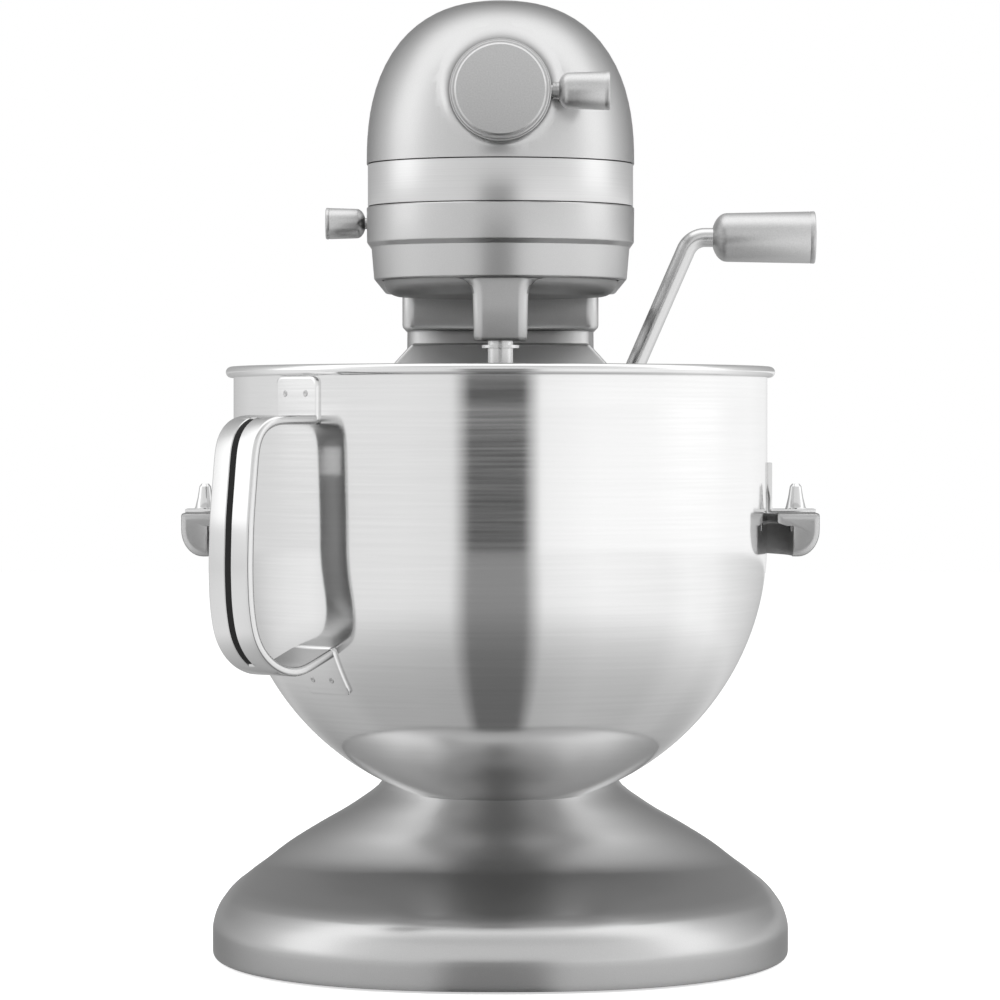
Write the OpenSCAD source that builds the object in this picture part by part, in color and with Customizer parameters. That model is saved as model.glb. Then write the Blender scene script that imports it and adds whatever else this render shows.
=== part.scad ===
// Bowl-lift stand mixer. Millimetres, +Z up. The origin is on the floor below the planetary axis,
// -Y is the front (attachment hub side) and +X is the side of the bowl-lift lever.

/* [Base] */
// Length of the base, front to back
base_length = 346; // [336:1:360]
// Width of the base
base_width = 260; // [245:1:275]
// Reach of the base in front of the planetary axis
base_front = 95; // [90:1:105]
// Height of the base's upright rim
rim_height = 12; // [8:1:14]
// Wall of the pedestal casting
cast_wall = 4; // [3:0.5:5]
// Height of the bottom edge above the floor
floor_gap = 1; // [1:0.5:2.5]
// Radius of a rubber foot
foot_r = 10; // [7:0.5:12]
// Thickness of the bottom plate
bottom_plate = 2; // [1.5:0.5:3]

/* [Column] */
// Width of the column at its top
column_width = 88; // [80:1:96]
// Distance from the bowl's wall back to the column's front
column_gap = 24.3; // [24.3:0.1:30]
// Depth of the column, front to back
column_depth = 85; // [80:1:90]
// Height of the column's top above the floor
column_top = 283; // [281:1:286]

/* [Head] */
// Width of the head
head_width = 117; // [112:1:122]
// Height of the head's underside
head_bottom = 302; // [300:1:304]
// Height of the step between the skirt and the lower housing
step_z = 317; // [315:1:318]
// Depth of that step
step_in = 2; // [1:0.5:3]
// Height of the trim band's lower edge
band_z = 334; // [333:0.5:337]
// Height of the trim band
band_height = 19; // [15:1:22]
// Height of the top of the head
head_top = 424; // [418:1:430]
// Wall of the head housings
head_wall = 3; // [2.5:0.5:3.5]
// Distance from the nose arc's centre to the tail arc's centre
head_straight = 196; // [190:1:206]
// Distance of the rear cover's seam from the planetary axis
rear_seam = 186; // [182:1:190]
// Depth of the neck block under the head
neck_depth = 112; // [104:1:116]

/* [Hub] */
// Height of the attachment hub's axis above the trim band
hub_rise = 28; // [26:0.5:30]
// Outer radius of the hub
hub_r = 21; // [20.5:0.5:24]
// Radius of the hub's bore for attachments
hub_bore_r = 16; // [15:0.25:17]
// Distance of the hub's front face from the planetary axis
hub_face = 66; // [65:0.5:69]
// Radius of the hub cover
cover_r = 19.7; // [19:0.1:20.5]
// Thickness of the hub cover
cover_t = 4; // [3:0.5:5]
// Length of the attachment knob
knob_length = 22.5; // [20:0.5:24]
// Radius of the attachment knob at its outer end
knob_r = 8.3; // [7.5:0.1:8.4]

/* [Speed lever] */
// Height of the speed lever's axis
speed_z = 329.2; // [329:0.1:330]
// Rest place of the speed lever along the head
speed_y = 50; // [46:1:54]
// Travel of the speed lever from off to fastest
speed_travel = 44; // [36:1:44]
// Radius of the speed knob at its outer end
speed_knob_r = 7.1; // [6.5:0.1:7.5]
// Length of the speed knob
speed_knob_length = 18; // [16:0.5:20]

/* [Gears] */
// Module of the ring gear and the spur gears
gear_module = 1.5; // [1.5:0.5:1.5]
// Teeth of the ring gear
ring_teeth = 64; // [64:4:64]
// Teeth of the pinion on the beater shaft
beater_teeth = 16; // [16:2:16]
// Teeth of the spur gear on the centre shaft
centre_teeth = 44; // [44:2:44]
// Teeth of the drive pinion beside it
drive_teeth = 14; // [14:1:14]
// Teeth of the worm wheel
wheel_teeth = 26; // [26:1:26]
// Module of the worm and its wheel
worm_module = 1.25; // [1.25:0.25:1.25]
// Number of starts of the worm
worm_starts = 2; // [2:1:2]
// Pitch radius of the worm
worm_r = 8; // [7.5:0.25:8.5]
// Teeth of each of the two bevel gears
bevel_teeth = 20; // [20:1:20]
// Face width of the spur gears
gear_face = 7; // [5:0.5:7.5]

/* [Planetary] */
// Radius of the planetary housing
planet_r = 51; // [49:0.5:52]
// Height of its underside
planet_z = 295; // [294:0.5:297]
// Thickness of the planetary housing
planet_t = 14; // [12:0.5:14]
// Length of the boss that holds the beater shaft
boss_drop = 20; // [16:1:22]
// Width of that boss
boss_width = 24; // [20:1:28]
// Radius of the beater shaft
beater_r = 5.4; // [5:0.1:6]
// Length of the beater shaft below its boss
beater_length = 36; // [32:1:40]
// Radius of the centre shaft
centre_r = 6; // [5:0.5:7]

/* [Bowl] */
// Radius of the bowl's wall
bowl_r = 116.7; // [114:0.1:118]
// Thickness of the bowl's wall
bowl_wall = 1.2; // [0.8:0.1:1.6]
// Height of the bowl's rim, raised
bowl_top = 264.3; // [263:0.1:268]
// Height of the bowl's underside, raised
bowl_bottom = 77; // [74:0.5:80]
// Height of the centre of the bowl's round lower part
bowl_centre = 188; // [184:0.5:190]
// Radius of the rolled rim's bead
bead_r = 2.4; // [2:0.1:3]
// Direction of the bowl handle, to the left of the front
handle_turn = 47; // [40:1:55]
// Width of the handle strap
strap_width = 26; // [22:1:30]
// Thickness of the handle strap
strap_t = 4; // [3:0.5:5]
// Reach of the handle from the bowl's wall
handle_reach = 38.8; // [34:0.2:41]
// Height of the handle's top run
handle_top = 241; // [238:0.5:244]
// Height of the handle's lowest point
handle_low = 134; // [131:0.5:137]
// Width of the black insert along the handle
insert_width = 2.4; // [2:0.2:4]
// Thickness of the bowl's side brackets
bracket_t = 1.8; // [1.2:0.1:2.4]

/* [Bowl lift] */
// Height of the top of the yoke's arms, raised
arm_top = 200.4; // [198:0.2:203]
// Distance from the bowl's wall to the yoke's arms
arm_gap = 4.3; // [3.5:0.1:4.8]
// Width of the yoke's arms
arm_width = 18.6; // [17:0.1:19.4]
// Depth of the yoke's arms
arm_depth = 18.8; // [15:0.2:20]
// Height of the yoke's back plate, raised
yoke_top = 277; // [274:0.5:279]
// Height of the tapered locating pins above the brackets
pin_height = 11; // [9:0.5:12]
// Radius of the locating pins at their base
pin_r = 4.6; // [4:0.1:5]
// Travel of the bowl lift
lift_travel = 34; // [30:1:34]
// Turn of the lift lever from raised to lowered
lift_turn = 90; // [90:1:90]
// Radius of the lift shaft
lift_r = 5; // [4:0.5:6]
// Distance of the lift shaft behind the column's front
lift_back = 31; // [27:1:33]
// Height of the lift shaft
lift_z = 232; // [228:1:235]
// Radius of the lever's rod
rod_r = 4.5; // [4:0.1:5]
// Lean of the lever's rod, outwards
rod_lean = 23.6; // [20:0.2:27]
// Height of the lever's grip
grip_z = 328; // [320:1:332]
// Length of the lever's grip
grip_length = 49; // [44:1:52]
// Radius of the grip at its outer end
grip_r = 12.4; // [11:0.1:13]

/* [Motor] */
// Height of the motor's axis
motor_z = 350; // [349.5:0.1:350.2]
// Outer radius of the stator
stator_r = 43; // [40:1:45]
// Radius of the armature
armature_r = 25; // [22:0.5:26]
// Distance of the stator's front from the planetary axis
stator_y = 84; // [82:1:88]
// Length of the stator
stator_length = 52; // [46:1:56]

/* [Hidden] */

$fn = 64;
fit = 0.05;      // radial gap of a shaft in its bush
gap = 0.3;       // gap between parts that move past each other
tiny = 0.5;      // overlap of cuts past a face
hub_z = band_z + band_height + hub_rise;

// Points of an upright ring at height z: half-width w, front yf, widest place ym, back yb, power n
ring_points = 48;
function power(v, n) = sign(v) * pow(abs(v), 2 / n);
function oval(z, w, yf, ym, yb, n) = [for (i = [0:ring_points - 1]) let (a = 360 * i / ring_points)
    [w * power(cos(a), n), ym + (sin(a) >= 0 ? yb - ym : ym - yf) * power(sin(a), n), z]];

// Solid through a list of rings, each with as many points, from the first ring to the last
module loft(rings) {
    n = len(rings[0]);
    last = (len(rings) - 1) * n;
    walls = [for (r = [0:len(rings) - 2], i = [0:n - 1]) let (a = r * n + i, b = r * n + (i + 1) % n)
        each [[a, a + n, b + n], [a, b + n, b]]];
    polyhedron(points = [for (ring = rings) each ring], convexity = 8,
        faces = concat(walls, [[for (i = [0:n - 1]) i]], [[for (i = [n - 1:-1:0]) last + i]]));
}
function backwards(list) = [for (i = [len(list) - 1:-1:0]) list[i]];

// Cylinders along X and Y
module rod_x(x, y, z, r, length) { translate([x, y, z]) rotate([0, 90, 0]) cylinder(r = r, h = length); }
module rod_y(x, y, z, r, length) { translate([x, y, z]) rotate([-90, 0, 0]) cylinder(r = r, h = length); }

// ---------- Pedestal ----------
base_back = base_length - base_front;
arm_in = bowl_r + arm_gap;
arm_out = arm_in + arm_width;
base_mid = (base_back - base_front) / 2;
base_half = base_width / 2;
column_half = column_width / 2;
column_front = bowl_r + column_gap;
column_back = column_front + column_depth;
column_mid = column_front + column_depth / 2;
lift_y = column_front + lift_back;
rim_top = floor_gap + rim_height;
base_power = 2.3;    // squareness of the base in plan
edge = 1.5;          // softening of the base's bottom edge
plate_gap = 0.6;     // gap between the bottom plate and the casting

// Rings of the casting's skin: height, half-width, front, widest place, back, power.
// The deck under the bowl is a shallow slope, and the neck sweeps back up to the column.
// The inner skin, at s, is drawn in sideways and, on the deck, lowered as well.
function skin(s) = [
    oval(floor_gap, base_half - edge - s, s - base_front + edge, base_mid, base_back - edge - s, base_power),
    oval(floor_gap + edge, base_half - s, s - base_front, base_mid, base_back - s, base_power),
    oval(rim_top, base_half - s, s - base_front, base_mid, base_back - s, base_power),
    oval(rim_top + 7 - 0.4 * s, base_half - 1.6 - s, s - base_front + 1.6, base_mid, base_back - 1.6 - s, base_power),
    oval(rim_top + 14 - 0.8 * s, base_half - 6 - s, s - base_front + 6, base_mid, base_back - 4.5 - s, base_power),
    oval(rim_top + 18 - s, base_half - 10 - s, s - base_front + 16, base_mid + 4, base_back - 7.5 - s, base_power - 0.1),
    oval(rim_top + 20 - s, base_half - 13 - s, s - 45, base_mid + 10, base_back - 9 - s, base_power - 0.15),
    oval(rim_top + 22 - s, base_half - 16 - s, s + 6, base_mid + 20, base_back - 11 - s, base_power - 0.2),
    oval(rim_top + 25 - s, base_half - 21 - s, s + 50, base_mid + 34, base_back - 13 - s, base_power - 0.25),
    oval(rim_top + 32 - 0.9 * s, base_half - 31 - s, s + 66, base_mid + 48, base_back - 17 - s, 2),
    oval(rim_top + 40 - 0.8 * s, base_half - 45 - s, s + 77, base_mid + 60, base_back - 20 - s, 2.1),
    oval(rim_top + 48 - 0.8 * s, base_half - 60 - s, s + 88, base_mid + 70, base_back - 22 - s, 2.3),
    oval(rim_top + 58 - 0.6 * s, base_half - 74 - s, s + 99, column_mid - 14, column_back + 1.5 - s, 2.6),
    oval(rim_top + 75 - 0.3 * s, column_half + 7 - s, s + 112, column_mid - 8, column_back - s, 3),
    oval(rim_top + 98 - 0.2 * s, column_half + 4 - s, s + column_front - 18, column_mid - 4, column_back - s, 3.4),
    oval(rim_top + 118, column_half + 3 - s, s + column_front - 7, column_mid - 1, column_back - s, 3.8),
    oval(rim_top + 130, column_half + 2.5 - s, s + column_front, column_mid, column_back - s, 4),
    oval(column_top - s, column_half - s, s + column_front, column_mid, column_back - s, 4)];

slot_half = 12;
tongue_z = arm_top + 6;
tongue_height = 26;

module pedestal() {
    color("silver") difference() {
        loft(concat(backwards(skin(cast_wall)), skin(0)));
        // slot for the tongue of the bowl carriage
        translate([-slot_half, column_front - tiny - 2, tongue_z - lift_travel - 2])
            cube([2 * slot_half, cast_wall + 8, tongue_height + lift_travel + 4]);
        rod_x(-column_half - 10, lift_y, lift_z, bush_r, column_width + 20);
        rod_y(0, column_back - 10, gland_z, gland_r, 20);
    }
}

gland_z = column_top - 22;
gland_r = 7;
bush_r = lift_r + 3;

plate_z = floor_gap + 2;
module bottom_plate() {
    inset = cast_wall + plate_gap;
    color("gray") difference() {
        translate([0, 0, plate_z]) linear_extrude(bottom_plate) polygon([
            for (p = oval(0, base_half - inset, inset - base_front, base_mid, base_back - inset, base_power))
                [p.x, p.y]]);
        for (p = foot_places) translate([p.x, p.y, 0]) cylinder(r = 2.2, h = 20);
    }
}

foot_places = [[0, 20 - base_front], [base_half - 34, base_mid - 40], [34 - base_half, base_mid - 40],
    [base_half - 58, base_back - 58], [58 - base_half, base_back - 58]];
module rubber_feet() {
    color("dimgray") for (p = foot_places) translate([p.x, p.y, 0]) difference() {
        cylinder(r = foot_r, h = plate_z);
        translate([0, 0, -tiny]) cylinder(r = 4.5, h = plate_z - 1.5 + tiny);
        cylinder(r = 2.2, h = 20);
    }
}
module bottom_screws() {
    color("gray") for (p = foot_places) translate([p.x, p.y, 0]) {
        translate([0, 0, plate_z - 1.5 - 1.4]) cylinder(r = 4, h = 1.4);
        translate([0, 0, plate_z - 1.5]) cylinder(r = 2.1, h = bottom_plate + 1.5 + 6);
    }
}

// ---------- Head housings ----------
head_half = head_width / 2;
nose_y = -1.5;
tail_y = nose_y + head_straight;
band_top = band_z + band_height;

// Plan of the head: round nose, straight sides and round tail, drawn in by s
module head_plan(s) {
    r = head_half - s;
    translate([0, nose_y]) circle(r = r, $fn = 96);
    translate([0, tail_y]) circle(r = r, $fn = 96);
    translate([-r, nose_y]) square([2 * r, head_straight]);
}
// Half plane in front of, or behind, the rear cover's seam
module ahead(y) { translate([-100, y - 400, 0]) cube([200, 400, 600]); }
module behind(y) { translate([-100, y, 0]) cube([200, 400, 600]); }

neck_half = column_half + 1.4;
neck_corner = 6;
neck_front = column_back - neck_depth + 2;
module rounded_block(x, y0, y1, z0, z1, r) {
    for (sx = [-1, 1], y = [y0 + r, y1 - r]) translate([sx * (x - r), y, z0]) cylinder(r = r, h = z1 - z0);
    translate([r - x, y0, z0]) cube([2 * (x - r), y1 - y0, z1 - z0]);
    translate([-x, y0 + r, z0]) cube([2 * x, y1 - y0 - 2 * r, z1 - z0]);
}

slot_h = 7;
floor_t = 3;
module lower_housing() {
    color("silver") difference() {
        union() {
            translate([0, 0, head_bottom]) linear_extrude(step_z - head_bottom) head_plan(step_in);
            translate([0, 0, step_z]) linear_extrude(band_z - step_z) head_plan(0);
            rounded_block(neck_half, neck_front, column_back + 2, column_top, head_bottom + tiny, neck_corner);
        }
        // cavity, narrower below the ledge that the gear case and the rear motor plate rest on
        translate([0, 0, head_bottom + floor_t]) linear_extrude(band_z - head_bottom) head_plan(step_in + head_wall);
        translate([0, 0, case_z]) linear_extrude(band_z - case_z + tiny) head_plan(head_wall);
        translate([0, 0, head_bottom - tiny]) cylinder(r = planet_hole, h = 10);
        rounded_block(neck_half - head_wall, neck_front + head_wall, column_back - 1, column_top + 3,
            head_bottom + floor_t + tiny, neck_corner - head_wall);
        // opening down into the column, for the leads
        translate([0, column_back - 30, column_top - tiny]) cylinder(r = 12, h = 10);
        // slot for the speed lever, on the left only
        translate([-head_half - 5, speed_y - speed_travel - 5, speed_z - slot_h / 2])
            cube([20, speed_travel + 10, slot_h]);
    }
}
planet_hole = planet_r + 1;

module trim_band() {
    color("lightgray") translate([0, 0, band_z]) difference() {
        linear_extrude(band_height) head_plan(0.3);
        translate([0, 0, -tiny]) linear_extrude(band_height + 2 * tiny) head_plan(head_wall);
    }
}

// Rings of the dome: a full round nose and tail whose half-width falls from the seam to the top
dome_power = 2.4;
dome_height = head_top - band_top;
dome_turns = [0, 14, 27, 39, 50, 60, 69, 77, 83, 87];
function dome_ring(t, s) = let (w = (head_half - s) * pow(cos(t), 2 / dome_power),
    z = band_top + (dome_height - s) * pow(sin(t), 2 / dome_power), half = ring_points / 2)
    concat([for (i = [0:half]) [w * cos(180 * i / half), tail_y + w * sin(180 * i / half), z]],
        [for (i = [half:2 * half]) [w * cos(180 * i / half), nose_y + w * sin(180 * i / half), z]]);
function dome_rings(s) = [for (t = dome_turns) dome_ring(t, s)];
module dome() {
    loft(concat(backwards(dome_rings(head_wall)), dome_rings(0)));
}
module upper_housing() {
    color("silver") difference() {
        intersection() { dome(); ahead(rear_seam); }
        rod_y(0, -100, hub_z, hub_r, 100);
    }
}
cover_screw_z = band_top + dome_height / 2;
module rear_cover() {
    color("silver") difference() {
        intersection() { dome(); behind(rear_seam + 0.4); }
        rod_y(0, 200, cover_screw_z, 2.6, 200);
        rod_y(0, tail_back - 0.2, cover_screw_z, 5.1, 20);
    }
}
dome_mid = asin(pow(0.5, dome_power / 2));
tail_back = tail_y + head_half * pow(cos(dome_mid), 2 / dome_power);
module rear_cover_screw() {
    color("gray") {
        rod_y(0, tail_back - 0.2, cover_screw_z, 5, 2.2);
        rod_y(0, rear_plate_y + plate_t, cover_screw_z, 2.5, tail_back - rear_plate_y - plate_t);
    }
}

// ---------- Gear train in the head ----------
case_z = step_z + 1;
case_t = 5;
spur_z = case_z + case_t + 10;
centre_pitch = gear_module * centre_teeth / 2;
drive_pitch = gear_module * drive_teeth / 2;
wheel_pitch = worm_module * wheel_teeth / 2;
wheel_x = wheel_pitch + worm_r;
wheel_y = sqrt(pow(centre_pitch + drive_pitch, 2) - pow(wheel_x, 2));
wheel_turn = atan2(wheel_y, wheel_x);
beater_offset = gear_module * (ring_teeth - beater_teeth) / 2;
bevel_pitch = gear_module * bevel_teeth / 2;
bracket_z = motor_z + worm_r + worm_module + 0.8;
bracket_t_up = 3.5;
wheel_face = 7;
bush_wall = 3;
wheel_shaft_r = 4;

// Outline of a gear: each tooth is centred on a multiple of its pitch angle
function gear_points(teeth, root, tip, root_part, tip_part) = [for (k = [0:teeth - 1], c = [
    [root, -root_part], [(root + tip) / 2, -(root_part * 0.42 + tip_part * 0.58)], [tip, -tip_part],
    [tip, tip_part], [(root + tip) / 2, root_part * 0.42 + tip_part * 0.58], [root, root_part]])
    let (a = 360 / teeth * (k + c[1] / 2)) c[0] * [cos(a), sin(a)]];
module spur(teeth, module_size, face) {
    pitch = module_size * teeth / 2;
    linear_extrude(face) polygon(gear_points(teeth, pitch - 1.15 * module_size,
        pitch + 0.8 * module_size, 0.62, 0.2));
}

module gear_case() {
    color("gray") difference() {
        union() {
            intersection() {
                translate([0, 0, case_z]) linear_extrude(case_t) head_plan(head_wall + seat_gap);
                ahead(front_plate_y + plate_t + 1);
            }
            translate([0, 0, step_z - 4]) cylinder(r = centre_r + bush_wall + 3, h = 5);
            for (p = bracket_posts) translate([p.x, p.y, case_z + case_t - tiny])
                cylinder(r = 4, h = bracket_z - case_z - case_t + tiny);
        }
        translate([0, 0, 200]) cylinder(r = centre_r + bush_wall, h = 200);
        translate([wheel_x, wheel_y, 200]) cylinder(r = 4 + bush_wall, h = 200);
        for (p = bracket_posts) translate([p.x, p.y, bracket_z - 12]) cylinder(r = 1.6, h = 20);
        for (a = case_screw_turns) rotate(a) translate([case_screw_at, 0, 200]) cylinder(r = case_screw_r, h = 200);
    }
}
seat_gap = 0.15;
bracket_posts = [[44, 6], [wheel_x + 22, wheel_y + 10], [-28, -28]];
case_screw_turns = [45, 135, 225, 315];
case_screw_at = gear_module * ring_teeth / 2 + 3.7;
case_screw_r = 1.2;
module case_screws() {
    head = 1.5;
    color("gray") for (a = case_screw_turns) rotate(a) translate([case_screw_at, 0, ring_z - head]) {
        cylinder(r = case_screw_r + 0.5, h = head);
        cylinder(r = case_screw_r, h = head + ring_t + case_t);
    }
}

ring_t = 7;
ring_z = case_z - ring_t;
module ring_gear() {
    pitch = gear_module * ring_teeth / 2;
    color("dimgray") translate([0, 0, ring_z]) difference() {
        cylinder(r = pitch + 5.3, h = ring_t, $fn = 96);
        translate([0, 0, -tiny]) rotate(-90) linear_extrude(ring_t + 2 * tiny) polygon(gear_points(
            ring_teeth, pitch - 0.8 * gear_module, pitch + 1.1 * gear_module, 0.72, 0.34));
        for (a = case_screw_turns) rotate(a) translate([case_screw_at, 0, -tiny]) cylinder(r = case_screw_r, h = 20);
    }
}

// Flat bar in plan, from a to b, with round ends
module bar(a, b, r) {
    d = b - a;
    for (p = [a, b]) translate(p) circle(r = r);
    translate(a) rotate(atan2(d.y, d.x)) translate([0, 0.5 - r]) square([norm(d), 2 * r - 1]);
}
module gear_bracket() {
    hub_at = [0, 0];
    wheel_at = [wheel_x, wheel_y];
    color("gray") translate([0, 0, bracket_z]) linear_extrude(bracket_t_up) difference() {
        union() {
            circle(r = centre_r + bush_wall + 3);
            translate(wheel_at) circle(r = wheel_shaft_r + bush_wall + 2);
            bar(bracket_posts[0], hub_at, 5);
            bar(bracket_posts[2], hub_at, 5);
            bar(bracket_posts[0], wheel_at, 5);
            bar(bracket_posts[1], wheel_at, 5);
        }
        circle(r = centre_r + bush_wall);
        translate(wheel_at) circle(r = wheel_shaft_r + bush_wall);
        for (p = bracket_posts) translate(p) circle(r = 1.6);
    }
}

module bush(x, y, z, r, h) {
    translate([x, y, z]) difference() {
        cylinder(r = r + bush_wall, h = h);
        translate([0, 0, -tiny]) cylinder(r = r + fit, h = h + 2 * tiny);
    }
}
module shaft_bushes() {
    color("goldenrod") {
        bush(0, 0, step_z - 4, centre_r, case_t + 5);
        bush(0, 0, bracket_z, centre_r, bracket_t_up);
        bush(wheel_x, wheel_y, case_z, wheel_shaft_r, case_t);
        bush(wheel_x, wheel_y, bracket_z, wheel_shaft_r, bracket_t_up);
    }
}

module centre_shaft() {
    color("gray") difference() {
        translate([0, 0, planet_z + 3]) cylinder(r = centre_r, h = bevel_foot + 3 - planet_z);
        rod_x(-20, 0, drive_pin_z, drive_pin_r + fit, 40);
    }
}
bevel_foot = bracket_z + bracket_t_up + 0.4;
module centre_gear() {
    color("dimgray") translate([0, 0, spur_z - 0.4]) difference() {
        rotate(wheel_turn) spur(centre_teeth, gear_module, gear_face);
        translate([0, 0, -tiny]) cylinder(r = centre_r, h = 20);
    }
}

// Bevel gear with its apex at the origin and its back towards -Z
bevel_cone = 45;
bevel_reach = bevel_pitch / sin(bevel_cone);
bevel_face = 6;
bevel_under = hub_z - bevel_reach * cos(bevel_cone - 6);
function bevel_ring(reach, turn) = [for (k = [0:bevel_teeth - 1], c = [[-4.6, -0.58], [4, -0.2],
    [4, 0.2], [-4.6, 0.58]]) let (a = 360 / bevel_teeth * (k + turn + c[1] / 2), t = bevel_cone + c[0])
    reach * [sin(t) * cos(a), sin(t) * sin(a), -cos(t)]];
module bevel(turn) {
    n = 4 * bevel_teeth;
    points = concat(bevel_ring(bevel_reach, turn), bevel_ring(bevel_reach - bevel_face, turn),
        [[0, 0, -bevel_reach * cos(bevel_cone - 6)], [0, 0, -(bevel_reach - bevel_face) * cos(bevel_cone + 4)]]);
    polyhedron(points = points, convexity = 6, faces = concat(
        [for (i = [0:n - 1]) [i, (i + 1) % n, 2 * n]],
        [for (i = [0:n - 1]) [n + (i + 1) % n, n + i, 2 * n + 1]],
        [for (i = [0:n - 1]) each [[i, n + i, n + (i + 1) % n], [i, n + (i + 1) % n, (i + 1) % n]]]));
}
module centre_bevel() {
    color("dimgray") difference() {
        union() {
            translate([0, 0, hub_z]) bevel(0);
            // hub of the gear, from the spacer on the bracket up into the gear
            translate([0, 0, bevel_foot]) cylinder(r = 9, h = bevel_under + 2.4 - bevel_foot);
        }
        cylinder(r = centre_r, h = 600);
    }
}
module hub_gear() {
    color("dimgray") difference() {
        union() {
            translate([0, 0, hub_z]) rotate([-90, 0, 0]) rotate(90) bevel(0.5);
            rod_y(0, -hub_web_y + 4.4, hub_z, 9, hub_web_y - 4.4 - 15);
        }
        rod_y(0, -80, hub_z, 5, 80);
    }
}

// ---------- Attachment hub ----------
hub_web_y = 26;
hub_web_t = 10;
socket_y = 35.8;
module hub_socket() {
    color("silver") difference() {
        rod_y(0, -hub_face, hub_z, hub_r, hub_face - hub_web_y);
        rod_y(0, -hub_face - tiny, hub_z, hub_bore_r, hub_face - hub_web_y - hub_web_t + tiny);
        rod_y(0, -60, hub_z, hub_journal_r + fit, 60);
        rod_x(0, knob_y, hub_z, screw_r + fit, 60);
    }
}
hub_journal_r = 8;
knob_y = -58;
screw_r = 2.6;
module hub_drive_shaft() {
    color("gray") difference() {
        union() {
            rod_y(0, -socket_y, hub_z, hub_journal_r, socket_y - hub_web_y + 4);
            rod_y(0, -hub_web_y, hub_z, 5, 16);
        }
        translate([-4, -socket_y - tiny, hub_z - 4]) cube([8, 12, 8]);
    }
}
module hub_cover() {
    color("silver") {
        rod_y(0, -hub_face - cover_t, hub_z, cover_r, cover_t - gap);
        rod_y(0, -hub_face - gap - tiny, hub_z, hub_bore_r - 0.15, 3.5);
    }
}
// Knob along +X from its domed inner end, flaring towards its flat outer end
module knob(r, length) {
    inner = r * 0.93;
    rotate([0, 90, 0]) rotate_extrude() polygon(concat([[0, 0]],
        [for (a = [15:15:90]) [inner * sin(a), inner * 0.62 * (1 - cos(a))]],
        [[r, length - 0.6], [r - 0.6, length], [0, length]]));
}
knob_x = hub_r + 3.2;
module attachment_screw() {
    color("gray") {
        rod_x(hub_bore_r + 0.6, knob_y, hub_z, screw_r, knob_x - hub_bore_r - 0.6 + 6);
        rod_x(hub_r + gap, knob_y, hub_z, 3.6, knob_x - hub_r - gap);
    }
}
module attachment_knob() {
    color("silver") translate([knob_x, knob_y, hub_z]) difference() {
        knob(knob_r, knob_length);
        translate([-1, 0, 0]) rotate([0, 90, 0]) cylinder(r = screw_r, h = 7);
    }
}

// ---------- Speed lever ----------
speed_rod_r = 2.5;
module speed_slider() {
    color("gray") {
        translate([-head_half + 16, speed_y - 20, case_z + case_t + gap])
            cube([14, 28, speed_z - case_z - case_t + 2]);
        rod_x(-head_half - 5, speed_y, speed_z, speed_rod_r, 22);
    }
}
module speed_knob() {
    color("silver") difference() {
        translate([-head_half - 1.8, speed_y, speed_z]) mirror([1, 0, 0]) knob(speed_knob_r, speed_knob_length);
        rod_x(-head_half - 5.05, speed_y, speed_z, speed_rod_r, 22);
    }
}

// ---------- Planetary and beater shaft ----------
beater_top = planet_z + planet_t + 1.5 + ring_t - 1;
boss_bottom = planet_z - boss_drop;
boss_front = planet_r + 1;
boss_back = beater_offset - 11;
drive_pin_z = planet_z + planet_t + 1.8;
drive_pin_r = 1.3;
module planetary() {
    color("gray") difference() {
        union() {
            translate([0, 0, planet_z + 5]) cylinder(r = planet_r, h = planet_t - 5);
            translate([0, 0, planet_z]) cylinder(r1 = planet_r - 6, r2 = planet_r, h = 5);
            // boss, whose front runs up over the side of the housing to just below the head
            translate([0, -(boss_front + boss_back) / 2, boss_bottom]) linear_extrude(head_bottom - gap - boss_bottom)
                polygon(rounded_corners(boss_width / 2, (boss_front - boss_back) / 2, 3.5));
            // collar that the drive pin passes through
            translate([0, 0, planet_z + planet_t - tiny]) cylinder(r = centre_r + 5, h = 3.6 + tiny);
        }
        translate([0, 0, planet_z + 3]) cylinder(r = centre_r, h = 40);
        translate([0, -beater_offset, boss_bottom - tiny]) cylinder(r = beater_r + fit, h = 60);
        rod_x(-40, 0, drive_pin_z, drive_pin_r + fit, 80);
    }
}
// Points of a rectangle, half-sizes x and y, with its corners rounded to r
function rounded_corners(x, y, r) = [for (k = [0:3], a = [0:22.5:90]) let (sx = k == 0 || k == 3 ? 1 : -1,
    sy = k < 2 ? 1 : -1) [sx * (x - r), sy * (y - r)] + r * [cos(90 * k + a), sin(90 * k + a)]];
module planetary_pin() {
    color("dimgray") rod_x(-centre_r - 4.5, 0, drive_pin_z, drive_pin_r, 2 * centre_r + 9);
}
module beater_shaft() {
    tip = boss_bottom - beater_length;
    land = boss_bottom - pin_drop - pin_land / 2;
    color("silver") difference() {
        translate([0, -beater_offset, 0]) union() {
            translate([0, 0, tip]) cylinder(r = beater_r, h = land - tip);
            translate([0, 0, land]) cylinder(r = beater_r - land_depth, h = pin_land);
            translate([0, 0, land + pin_land]) cylinder(r = beater_r, h = beater_top - land - pin_land);
        }
        rod_x(-40, -beater_offset, boss_bottom - pin_drop, pin_r_cross, 80);
    }
}
module beater_pinion() {
    color("dimgray") translate([0, -beater_offset, ring_z + 0.5]) difference() {
        rotate(-90) spur(beater_teeth, gear_module, beater_top - ring_z - 0.5);
        translate([0, 0, -tiny]) cylinder(r = beater_r, h = 20);
    }
}
pin_drop = 13;
pin_land = 7;
land_depth = 0.5;
pin_r_cross = 1.75;
module beater_pin() {
    color("gray") rod_x(-9, -beater_offset, boss_bottom - pin_drop, pin_r_cross, 18);
}
collar_drop = 3.1;
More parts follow.
